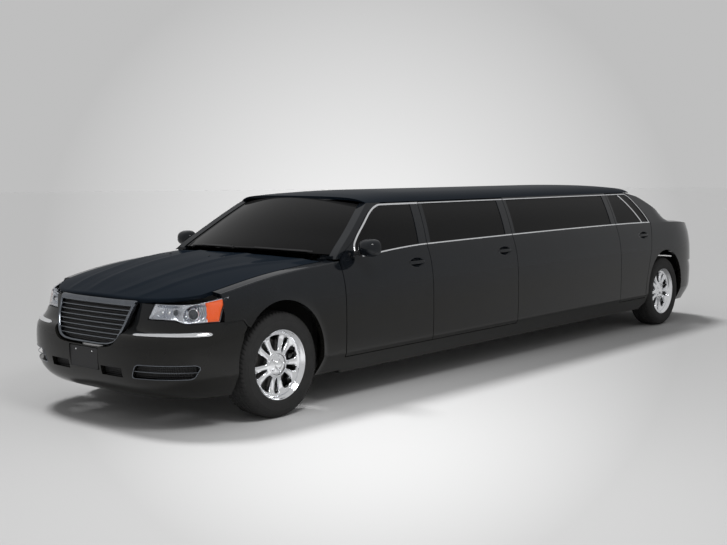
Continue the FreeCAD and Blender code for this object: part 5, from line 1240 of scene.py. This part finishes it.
def spoke_patches(station, hand):
    """Ten spokes: each has a crowned face, edges rounded by 3 mm, and walls 36 mm deep along its
    windows."""
    ease = np.linspace(0, 1, 11) ** 2 * 0.014
    radius = np.concatenate([np.linspace(0.074, 0.090, 5), 0.092 + ease, np.linspace(0.110, 0.181, 22),
                             (0.199 - ease)[::-1], np.linspace(0.201, 0.212, 4)])[:, None]
    wide, narrow = window_half(radius, 0.040, 0.104), window_half(radius, 0.018, 0.048)
    fifth = math.radians(72)
    patches = []
    for k in range(5):
        start = k * fifth + 0.35
        for low, high, first, last in ((start + wide, start + fifth / 2 - narrow, wide, narrow),
                                       (start + fifth / 2 + narrow, start + fifth - wide, narrow, wide)):
            columns = []
            for share, sink in ((0, 1), (0, 0.5), (0, 0), (0.12, 0), (0.3, 0), (0.5, 0), (0.7, 0),
                                (0.88, 0), (1, 0), (1, 0.5), (1, 1)):
                gap = first if share < 0.5 else last
                open_share = smooth_step(gap / 0.030)
                edge = SPOKE_EDGE * (share in (0, 1)) * open_share
                crown = SPOKE_CROWN * (1 - (2 * share - 1) ** 2)
                out = spoke_level(radius) + crown - edge - SPOKE_DEPTH * sink * open_share
                columns.append(at_hub(station, hand, radius, low + (high - low) * share, out))
            patches.append(np.concatenate(columns, axis=1))
    return patches


def cast_disc():
    """Machined cast iron: fine turning marks and a little brown in the casting."""
    iron = Finish("brake_iron")
    mark = iron.noise(160, 3.0)
    iron.set(Base_Color=iron.mix(mark, (0.055, 0.050, 0.046), (0.16, 0.155, 0.15)), Metallic=0.8,
             Roughness=0.38 + 0.2 * mark)
    iron.bump(mark, 0.0002)
    return iron.material


def tyre_rubber():
    """Black rubber, greyed by dust in patches."""
    rubber = Finish("tyre_rubber")
    dust = rubber.noise(18, 4.0)
    grain = rubber.noise(420, 2.0)
    rubber.set(Base_Color=rubber.mix(dust, (0.016, 0.016, 0.0165), (0.030, 0.0295, 0.029)),
               Roughness=0.72 + 0.14 * grain, Specular_IOR_Level=0.35)
    rubber.bump(grain, 0.0003)
    return rubber.material


IRON, RUBBER = cast_disc(), tyre_rubber()
TREAD_HALF = 0.086
TREAD_RADIUS = 0.3578
tread = []
for out in np.linspace(TREAD_HALF, -TREAD_HALF, 37):
    in_groove = min(abs(abs(out) - place) for place in (0.022, 0.060)) < 0.0048
    tread.append((TREAD_RADIUS - 0.0045 * (abs(out) / TREAD_HALF) ** 3 - 0.007 * in_groove, out))
SIDEWALL = [(0.2305, 0.0860), (0.2330, 0.0960), (0.2375, 0.1065), (0.2440, 0.1105), (0.2500, 0.1135),
            (0.2530, 0.1150), (0.2560, 0.1138), (0.2700, 0.1160), (0.2880, 0.1172), (0.3000, 0.1168),
            (0.3015, 0.1178), (0.3050, 0.1176), (0.3065, 0.1160), (0.3200, 0.1130), (0.3310, 0.1075),
            (0.3390, 0.1020), (0.3400, 0.1025), (0.3440, 0.0995), (0.3490, 0.0940)]
TYRE_INSIDE = [(0.2400, -0.060), (0.2450, 0), (0.2400, 0.060)]
TYRE = SIDEWALL + tread + [(radius, -out) for radius, out in SIDEWALL[::-1]] + TYRE_INSIDE
PITCHES = 70


def tyre_rings(station, hand):
    """The tyre's skin. At each pitch a groove 6 mm deep crosses the shoulders and a fine one crosses the
    middle, and both trail by a turn of 0.12 times the share across."""
    rings = PITCHES * 4
    turn = full_turn(rings)[:, None]
    profile = np.array(TYRE)
    radius = np.repeat(profile[None, :, 0], rings, axis=0)
    out = np.repeat(profile[None, :, 1], rings, axis=0)
    on_tread = radius > 0.330
    outside = np.clip((np.abs(out) - 0.066) / 0.004, 0, 1) * np.clip((0.106 - np.abs(out)) / 0.010, 0, 1)
    shoulder = outside * on_tread
    middle = (np.abs(out) < 0.062) * (radius > 0.350)
    beat = (np.arange(rings) % 4)[:, None]
    radius = radius - 0.006 * shoulder * (beat == 0) - 0.0035 * middle * (beat == 2)
    return at_hub(station, hand, radius, turn + 0.12 * np.abs(out) / TREAD_HALF * on_tread, out)


for name, (station, hand) in WHEELS.items():
    body = "wheel_" + name
    rim = shell("rim_" + name, lathe(RIM, station, hand, 120), CHROME, body, "chrome", looped=True,
                sharp=50)
    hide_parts("wheel_" + name)
    thicken(piece("spokes_" + name, spoke_patches(station, hand), CHROME, body, (0, hand, 0)),
            0.0010, 0)
    shell("hub_cap_" + name, lathe(HUB_CAP, station, hand, 72), CHROME, body, "chrome", looped=True,
          sharp=50)
    nuts = [dome(at_hub(station, hand, 0.055, k * math.radians(72), 0.0755), (0.0095, 0.0095, 0.0130),
                 (0, hand, 0), 6, 12) for k in range(5)]
    piece("wheel_nuts_" + name, nuts, CHROME, body, (0, hand, 0), (False, True))
    shell("brake_disc_" + name, lathe(DISC, station, hand, 72), IRON, body, "cast_iron", looped=True)
    tyre = shell("tread_" + name, tyre_rings(station, hand), RUBBER, body, "tyre", looped=True, sharp=28)
    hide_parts("tyre_" + name)

# Mirrors: a domed, painted housing with the silvered glass set into its rear. Its short foot is black
# plastic and is screwed to the front door.
MIRROR = (0.7925 + FRONT_AXLE, 0.999, 1.098)
MIRROR_HALF = (0.0475, 0.089, 0.064)


def rounded(turn, power=2.7):
    """Points of a superellipse of half-size 1."""
    c, s = np.cos(turn), np.sin(turn)
    return np.sign(c) * np.abs(c) ** (2 / power), np.sign(s) * np.abs(s) ** (2 / power)


def mirror_glass():
    """Silvered glass."""
    silver = Finish("mirror_glass")
    haze = silver.noise(20, 2.0)
    silver.set(Base_Color=silver.mix(haze, (0.80, 0.83, 0.86), (0.72, 0.75, 0.79)), Metallic=1.0,
               Roughness=0.02 + 0.03 * haze)
    return silver.material


def mirror_ring(back, size):
    """A ring of the left mirror, this far behind its middle and this share of its full size."""
    across, up = rounded(full_turn(56))
    return np.stack([np.full(56, MIRROR[0] + back), -MIRROR[1] + across * size * MIRROR_HALF[1],
                     MIRROR[2] + up * size * MIRROR_HALF[2]], -1)


# The housing's rings, as the share behind the middle and the size: its rim, and then a face that narrows
# forward, by a superellipse of power 2.3.
rim = [(0.86, 0.93), (0.96, 0.955), (1.0, 0.975), (0.97, 0.995)]
rim += [(0.95 - 1.95 * s, max(1 - s ** 2.3, 0) ** (1 / 2.3))
        for s in np.sin(np.linspace(0, math.pi / 2, 18))]
rings = [mirror_ring(share * MIRROR_HALF[0], size) for share, size in rim]
housing = shells("mirror_housing", np.array(rings), PAINT, "door_front_%s", "paint", sharp=60)
for made, hand in zip(housing, ("left", "right")):
    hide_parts("mirror_" + hand)
glass_level = 0.87 * MIRROR_HALF[0]
faces = [mirror_ring(glass_level + lift, size)
         for lift, size in ((-0.004, 0.925), (0.0008, 0.925), (0.0016, 0.90))]
shells("mirror_face", np.array(faces), mirror_glass(), "door_front_%s", "glass")
x = FRONT_AXLE + 0.770
foot = []
for y, half_x, half_z, z in ((0.868, 0.034, 0.024, 1.050), (0.884, 0.031, 0.022, 1.052),
                             (0.905, 0.026, 0.017, 1.058), (0.930, 0.024, 0.016, 1.064),
                             (0.950, 0.024, 0.016, 1.070)):
    a, b = rounded(full_turn(56), 2.4)
    foot.append(np.stack([x + half_x * a, np.full(56, -y), z + half_z * b], -1))
shells("mirror_foot", np.array(foot), MOULDING, "door_front_%s", "trim")
# Handles: pull straps with round edges that bridge the bowls in the doors. They are moulded, painted with
# the body and fixed from inside the door.
STRAP_HALF = 0.094
for name, (hx, hz) in HANDLES.items():
    x = np.linspace(-STRAP_HALF, STRAP_HALF, 40)
    y = side(np.full(40, hx), np.full(40, hz)) + 0.0015 * (1 - (x / STRAP_HALF) ** 2)
    here = np.stack([hx + x + FRONT_AXLE, -y, np.full(40, hz)], -1)
    out = np.broadcast_to(np.array([0.0, -1.0, 0.0]), here.shape)
    end = np.clip(1 - (np.abs(x) / (STRAP_HALF + 0.0005)) ** 12, 0, 1) ** 0.5
    a, b = rounded(full_turn(24), 3.2)
    profile = np.stack([a * 0.0128, -0.0045 + b * 0.0065], -1)[None]
    profile = profile * np.stack([end, 0.4 + 0.6 * end], -1)[:, None]
    shells("handle_" + name, carried(here, out, profile), PAINT, "door_%s_%%s" % name, "paint")

# Wipers: two black arms parked along the windscreen's foot, each of which presses a rubber blade on the
# glass. They are fixed on the body, behind the bonnet's rear edge.


def windscreen_at(up, across, lift):
    """Points of the windscreen: its side edge follows the pillar, and the middle bulges by 1 - across^2."""
    z = 1.052 + 0.340 * up
    x = windscreen_edge(z) + 0.012
    y = (side(x, z) - 0.0707) * across
    crown = 1 - across ** 2
    return np.stack([x + (-0.232 + 0.116 * up) * crown + FRONT_AXLE - 0.6 * lift, y,
                     z + (0.028 + 0.022 * up) * crown + 0.8 * lift], -1)


for name, start, finish, tip in (("left", -0.80, -0.04, 0.075), ("right", 0.02, 0.72, 0.085)):
    across = np.linspace(start, finish, 40)
    share = (across - start) / (finish - start)
    blade = windscreen_at(0.004 + (tip - 0.055) * (1 - share), across, 0.008)
    out = np.broadcast_to(np.array([-0.6, 0, 0.8]), blade.shape)
    shell("wiper_blade_" + name, carried(blade, out, oval(0.006, 0.007, 10)), MOULDING, "body", "trim")
    arm = windscreen_at(0.012 * share, across - 0.06 * (1 - share), 0.016)[:28]
    shell("wiper_arm_" + name, carried(arm, out[:28], oval(0.0075, 0.004, 10)), MOULDING, "body", "trim")

# Rear: tail lamps with ribbed red lenses in bright frames, and a chromed blade along the bumper's ledge.
# The lenses are moulded plastic, fixed from inside the boot.


def red_lens():
    """Moulded red lens: rows of ribs, with painted shade darker between them."""
    red = Finish("red_lens")
    rib = red.wave("Z", 420)
    # Painted shade: the tone is darker in the grooves between the ribs.
    red.set(Base_Color=red.mix(0.5 + 0.5 * rib, (0.20, 0.004, 0.004), (0.42, 0.010, 0.010)), Roughness=0.10,
            Emission_Color=(0.8, 0.01, 0.01), Emission_Strength=0.05)
    red.bump(rib, 0.001)
    return red.material


RED = red_lens()
tail_line = smooth_curve((0.235, 0.990), (0.300, 1.038), (0.400, 1.066), (0.500, 1.075), (0.580, 1.070),
                         (0.615, 1.052), (0.640, 1.024), (0.700, 1.016), (0.800, 1.008), (0.900, 0.996),
                         (1.000, 0.978))


def tail_at(share, z):
    """Points round the tail: share runs from 0 at the middle to 1 at the wheel."""
    ratio = np.sin(np.abs(share) * math.radians(80))
    x = WHEELBASE + tail_line(z) * (1 - ratio ** PLAN_POWER) ** (1 / PLAN_POWER)
    return np.stack([x + FRONT_AXLE, -section(WHEELBASE, z) * ratio, z + 0 * x], -1)


TAIL_LENS_SHARES = (0.565, 0.725)
TAIL_LENS_LEVELS = (0.652, 0.978)
u, v = np.meshgrid(np.linspace(*TAIL_LENS_SHARES, 24), np.linspace(*TAIL_LENS_LEVELS, 40))
on_both_sides("tail_lens", [tail_at(u, v) + [0.0012, 0, 0]], RED, outward=(1, -0.6, 0),
                      shape=lambda item: thicken(item, 0.0035, 0.0006))
across = np.linspace(TAIL_LENS_SHARES[0] + 0.003, TAIL_LENS_SHARES[1] - 0.003, 24)
up = np.linspace(TAIL_LENS_LEVELS[0] + 0.003, TAIL_LENS_LEVELS[1] - 0.003, 40)
loop_u = np.concatenate([across, np.full(40, across[-1]), across[::-1], np.full(40, across[0])])
loop_z = np.concatenate([np.full(24, up[0]), up, np.full(24, up[-1]), up[::-1]])
path = eased_loop(np.stack([loop_u, loop_z], 1), 3)
here = tail_at(path[:, 0], path[:, 1]) + [0.0015, 0, 0]
out = np.broadcast_to(np.array([0.93, -0.36, 0.0]), here.shape)
shells("tail_frame", carried_loop(here, out, oval(0.005, 0.003, 8)), CHROME, "body", "chrome", looped=True)
REAR_BLADE_LEVEL = 0.586
REAR_BLADE_SHARE = 0.56
share = np.linspace(-REAR_BLADE_SHARE, REAR_BLADE_SHARE, 121)
both_ways = np.stack([np.ones(121), -np.sign(share), np.ones(121)], -1)
here = tail_at(np.abs(share), np.full(121, REAR_BLADE_LEVEL)) * both_ways
out = np.stack([np.cos(share * 1.2), np.sin(share * 1.2), np.zeros(121)], -1)
shell("rear_blade", carried(here, out, strip_profile(0.011, 0.004)), CHROME, "body", "chrome")

# Cabin: leather seats, each pad its own stuffed form, on the base that carries it. The front pair faces the
# wheel, and the lounge runs along the right side and across the rear. They are blown up a little as real
# foam fills them.


def black_leather():
    """Soft black leather: creases in two sizes, and a dull shine where it is worn."""
    hide = Finish("black_leather")
    crease = hide.noise(38, 5.0, 0.6)
    pore = hide.noise(480, 2.0)
    hide.set(Base_Color=hide.mix(crease, (0.016, 0.0155, 0.015), (0.032, 0.031, 0.030)),
             Roughness=0.42 + 0.22 * crease)
    hide.bump(0.6 * crease + 0.4 * pore, 0.0015, 0.7)
    return hide.material


LEATHER = black_leather()
PAD_INSET = 0.012
PAD_SWELL = 0.016
PAD_VOXEL = 0.024


def pad(name, low, high, replaced=None):
    """A stuffed pad in a box: a form of superellipses, inflated by the cloth solver, its points held near
    its form."""
    centre, half = (np.array(low) + high) / 2, (np.array(high) - low) / 2 - PAD_INSET
    lift, turn = np.meshgrid(np.linspace(-math.pi / 2, math.pi / 2, 25), full_turn(48), indexing="ij")
    a, b = rounded(turn, 7)
    c, s = rounded(lift, 7)
    form = piece(name, [np.stack([c * a, c * b, s], -1) * half + centre], LEATHER, "body", None,
                 (False, True))
    welded(form.data, 0.00001, turned=True)
    remesh = form.modifiers.new("Even", "REMESH")
    remesh.mode = "VOXEL"
    remesh.voxel_size = PAD_VOXEL
    applied(form)
    rest = points_of(form)
    cloth = form.modifiers.new("Filling", "CLOTH")
    cloth.settings.use_pressure = True
    cloth.settings.uniform_pressure_force = 4
    cloth.settings.effector_weights.gravity = 0
    for frame_number in range(1, 21):
        bpy.context.scene.frame_set(frame_number)
    applied(form)
    bpy.context.scene.frame_set(1)
    moved = points_of(form) - rest
    reach = np.linalg.norm(moved, axis=1, keepdims=True)
    moved *= np.minimum(1, PAD_SWELL / np.maximum(reach, 1e-6))
    form.data.vertices.foreach_set("co", (rest + moved).ravel())
    form.data.polygons.foreach_set("use_smooth", np.ones(len(form.data.polygons), bool))
    form.data.update()
    smooth = form.modifiers.new("Smooth", "SUBSURF")
    smooth.levels = smooth.render_levels = 1
    if replaced:
        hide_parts(replaced)
    return form


def points_of(made):
    """The mesh's points."""
    flat = np.empty(len(made.data.vertices) * 3)
    made.data.vertices.foreach_get("co", flat)
    return flat.reshape(-1, 3)


def applied(made):
    """Put what the piece's modifiers give into its mesh, and take them off."""
    bpy.context.view_layer.update()
    seen = made.evaluated_get(bpy.context.evaluated_depsgraph_get())
    made.data = bpy.data.meshes.new_from_object(seen)
    made.modifiers.clear()


SEAT_BASE = 0.275
FRONT_SEATS = (-0.655, 0.175)
for k, low in enumerate(FRONT_SEATS):
    x = FRONT_AXLE + 1.180
    pad("front_cushion_%d" % k, (x, low, SEAT_BASE + 0.10), (x + 0.50, low + 0.48, SEAT_BASE + 0.33),
        "front_seats" if k == 0 else None)
    pad("front_back_%d" % k, (x + 0.40, low + 0.01, SEAT_BASE + 0.31), (x + 0.53, low + 0.47, 1.065))
    pad("head_rest_%d" % k, (x + 0.41, low + 0.11, 1.06), (x + 0.52, low + 0.37, 1.22))
BENCH_END = FRONT_AXLE + 5.195
pad("rear_bench", (BENCH_END - 0.445, -0.60, SEAT_BASE + 0.14), (BENCH_END, 0.60, SEAT_BASE + 0.33),
    "lounge_seat")
pad("rear_back", (BENCH_END - 0.145, -0.60, SEAT_BASE + 0.31), (BENCH_END, 0.60, 1.12))
for k in range(3):
    x = FRONT_AXLE + 3.000 + 0.61 * k
    pad("side_bench_%d" % k, (x, 0.18, SEAT_BASE + 0.14), (x + 0.60, 0.64, SEAT_BASE + 0.33))
    pad("side_back_%d" % k, (x, 0.60, SEAT_BASE + 0.32), (x + 0.60, 0.70, 0.985))


def boxed(name, low, high):
    """A moulded base with rounded edges between two corners."""
    edge = 0.012
    low, high = np.array(low), np.array(high)
    centre, half = (low + high) / 2, (high - low) / 2
    outline = rounded_box((half[0], half[1]), edge * 2, 5)
    rings = []
    for inset, height in ((edge, -half[2]), (edge * 0.3, -half[2] + edge * 0.3), (0, -half[2] + edge),
                          (0, half[2] - edge), (edge * 0.3, half[2] - edge * 0.3), (edge, half[2])):
        share = (half[:2] - inset) / half[:2]
        rings.append(np.concatenate([outline * share, np.full((len(outline), 1), height)], 1) + centre)
    return shell(name, np.array(rings), MOULDING, "body", "trim")


for k, low in enumerate(FRONT_SEATS):
    x = FRONT_AXLE + 1.200
    boxed("seat_base_%d" % k, (x, low + 0.03, SEAT_BASE), (x + 0.45, low + 0.45, SEAT_BASE + 0.115))
boxed("lounge_base_rear", (BENCH_END - 0.43, -0.59, SEAT_BASE),
      (BENCH_END - 0.005, -0.16, SEAT_BASE + 0.155))
boxed("lounge_base_side", (FRONT_AXLE + 3.01, 0.19, SEAT_BASE), (BENCH_END - 0.01, 0.63, SEAT_BASE + 0.155))

# What carries the car: the frame, floor, engine and axles keep their solids and get worn, dusty finishes.
# The panels under the skins get the body's enamel.


def worn(name, dark, light, metallic, roughness, scale=9):
    """A dusty finish in two tones: broad stains and a fine grain."""
    finish = Finish(name)
    stain = finish.noise(scale, 5.0, 0.6)
    grain = finish.noise(260, 2.0)
    finish.set(Base_Color=finish.mix(stain, dark, light), Metallic=metallic, Roughness=roughness + 0.2
               * stain)
    finish.bump(0.5 * stain + 0.5 * grain, 0.0006)
    return finish.material


UNDERSEAL = worn("underseal", (0.012, 0.012, 0.012), (0.035, 0.034, 0.032), 0.0, 0.65)
CASTING = worn("casting", (0.060, 0.058, 0.056), (0.150, 0.147, 0.142), 0.7, 0.45, 24)
FRAME_STEEL = worn("frame_steel", (0.030, 0.030, 0.031), (0.080, 0.078, 0.075), 0.5, 0.42, 16)
DASH = worn("dash_skin", (0.014, 0.014, 0.0145), (0.022, 0.022, 0.0225), 0.0, 0.5, 60)
FINISHES = {"floor_pan": UNDERSEAL, "bulkhead": UNDERSEAL, "engine_block": CASTING,
            "gearbox_and_shaft": CASTING, "rear_axle": CASTING, "knuckle_left": CASTING,
            "knuckle_right": CASTING, "front_frame": FRAME_STEEL, "exhaust": FRAME_STEEL,
            "instrument_panel": DASH, "tail_lamps": RED, "headlamps": BOWL, "grille": CHROME}
for name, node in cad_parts.items():
    finish = FINISHES.get(name)
    if finish is None and name.startswith(("door_", "body_", "fender", "rear_quarter", "front_bumper",
                                           "rear_bumper", "bonnet", "roof", "boot_lid", "mirror")):
        finish = SKY_FILMED_PAINT if name in ("bonnet", "roof", "boot_lid") else PAINT
    if finish is not None:
        node.data.materials.clear()
        node.data.materials.append(finish)

# Camera: a long lens ahead of the car's left corner and a little above its roof, where the photograph was
# taken from.
CAMERA_PLACE = (-5.0778 + FRONT_AXLE, -6.0195, 1.6421)
HEADING, PITCH, ROLL = math.radians(48.714), math.radians(-5.027), math.radians(-0.390)
look = np.array([math.sin(HEADING) * math.cos(PITCH), math.cos(HEADING) * math.cos(PITCH), math.sin(PITCH)])
right = np.array([math.cos(HEADING), -math.sin(HEADING), 0])
up = np.cross(right, look)
rolled_right = right * math.cos(ROLL) + up * math.sin(ROLL)
rolled_up = up * math.cos(ROLL) - right * math.sin(ROLL)
lens = bpy.data.cameras.new("Camera")
lens.sensor_width = 36
lens.lens = 53.93
lens.shift_x = 0.0138
lens.shift_y = -0.0074
camera = bpy.data.objects.new("Camera", lens)
turn = np.stack([rolled_right, rolled_up, -look], axis=1)
camera.rotation_mode = "QUATERNION"
camera.matrix_world = Matrix.Translation(CAMERA_PLACE) @ Matrix(turn.tolist()).to_4x4()
bpy.context.scene.collection.objects.link(camera)
bpy.context.scene.camera = camera

# Studio: a seamless pale floor, a sun-like key high behind the car, a soft lamp over its front corner, and
# an even sky. Floor and backdrop share one tone, palest behind the car, so that no horizon shows; on the
# floor that tone is a painted pool of light.
BACKDROP_EDGE = 0.52
BACKDROP_MIDDLE = 0.44
BACKDROP_REACH = 0.298
FLOOR_LIGHT = 0.94
FLOOR_REACH = 90
across, up = (shift * lens.sensor_width / lens.lens for shift in (lens.shift_x, lens.shift_y))
towards = look + rolled_right * across + rolled_up * up
towards /= np.linalg.norm(towards)


def backdrop_tone(tree, direction):
    """The tone seen in a direction: edge + middle * (1 - tangent / reach), the tangent being that of the
    angle away from the middle of the backdrop."""
    unit = tree.nodes.new("ShaderNodeVectorMath")
    unit.operation = "NORMALIZE"
    tree.links.new(direction, unit.inputs[0])
    dot = tree.nodes.new("ShaderNodeVectorMath")
    dot.operation = "DOT_PRODUCT"
    dot.inputs[1].default_value = tuple(towards)
    tree.links.new(unit.outputs[0], dot.inputs[0])
    cosine = Value(tree, dot.outputs["Value"])
    tangent = (1 - cosine * cosine).at_least(0) ** 0.5 / cosine.at_least(0.05)
    return BACKDROP_EDGE + BACKDROP_MIDDLE * (1 - tangent * (1 / BACKDROP_REACH)).at_least(0)


reach, turn = np.meshgrid(FLOOR_REACH * np.linspace(0, 1, 40) ** 2 + 0.001, full_turn(60), indexing="ij")
floor_mesh = bpy.data.meshes.new("Floor")
floor_points = np.stack([reach * np.cos(turn), reach * np.sin(turn), 0 * reach], -1)
floor_mesh.from_pydata(floor_points.reshape(-1, 3).tolist(), [], grid_quads(40, 60, False, True).tolist())
floor = bpy.data.objects.new("Floor", floor_mesh)
bpy.context.scene.collection.objects.link(floor)
ground = Finish("floor")
away = ground.node("ShaderNodeVectorMath", {"operation": "SUBTRACT"})
ground.put(away.inputs[0], ground.here)
away.inputs[1].default_value = CAMERA_PLACE
# Painted pool of light: the floor's colour is palest where the camera looks past the car and darkens away
# from there.
painted_light_pool = (backdrop_tone(ground.tree, away.outputs[0]) * (1 / FLOOR_LIGHT)).at_most(0.93)
ground.set(Base_Color=ground.mix(painted_light_pool, (0.0, 0.0, 0.0), (1.0, 1.0, 1.0)), Roughness=0.9,
           Specular_IOR_Level=0.0)
floor_mesh.materials.append(ground.material)
key = bpy.data.lights.new("Key", "SUN")
key.energy = 1.9
key.angle = math.radians(14)
key_lamp = bpy.data.objects.new("Key", key)
key_lamp.rotation_euler = (math.radians(-24), math.radians(5), 0)
key_lamp.visible_glossy = False
bpy.context.scene.collection.objects.link(key_lamp)
soft = bpy.data.lights.new("Soft", "AREA")
soft.energy = 60
soft.size = 1.3
soft_lamp = bpy.data.objects.new("Soft", soft)
soft_lamp.location = (-3.7, -3.0, 3.9)
soft_lamp.rotation_euler = (math.radians(24), math.radians(14), 0)
bpy.context.scene.collection.objects.link(soft_lamp)

world = bpy.data.worlds.new("Studio")
bpy.context.scene.world = world
world.use_nodes = True
nodes, links = world.node_tree.nodes, world.node_tree.links
sky = nodes["Background"]
sky.inputs["Color"].default_value = (0.6, 0.6, 0.6, 1)
sky.inputs["Strength"].default_value = 0.6
backdrop = nodes.new("ShaderNodeBackground")
seen = nodes.new("ShaderNodeTexCoord")
links.new(backdrop_tone(world.node_tree, seen.outputs["Generated"]).socket, backdrop.inputs["Color"])
ray = nodes.new("ShaderNodeLightPath")
shown = Value(world.node_tree,
              ray.outputs["Is Camera Ray"]).at_least(Value(world.node_tree, ray.outputs["Is Glossy Ray"]))
shown = shown.at_least(Value(world.node_tree, ray.outputs["Is Transmission Ray"]))
blend = nodes.new("ShaderNodeMixShader")
links.new(shown.socket, blend.inputs[0])
links.new(sky.outputs[0], blend.inputs[1])
links.new(backdrop.outputs[0], blend.inputs[2])
links.new(blend.outputs[0], nodes["World Output"].inputs["Surface"])
bpy.context.scene.view_settings.view_transform = "Standard"
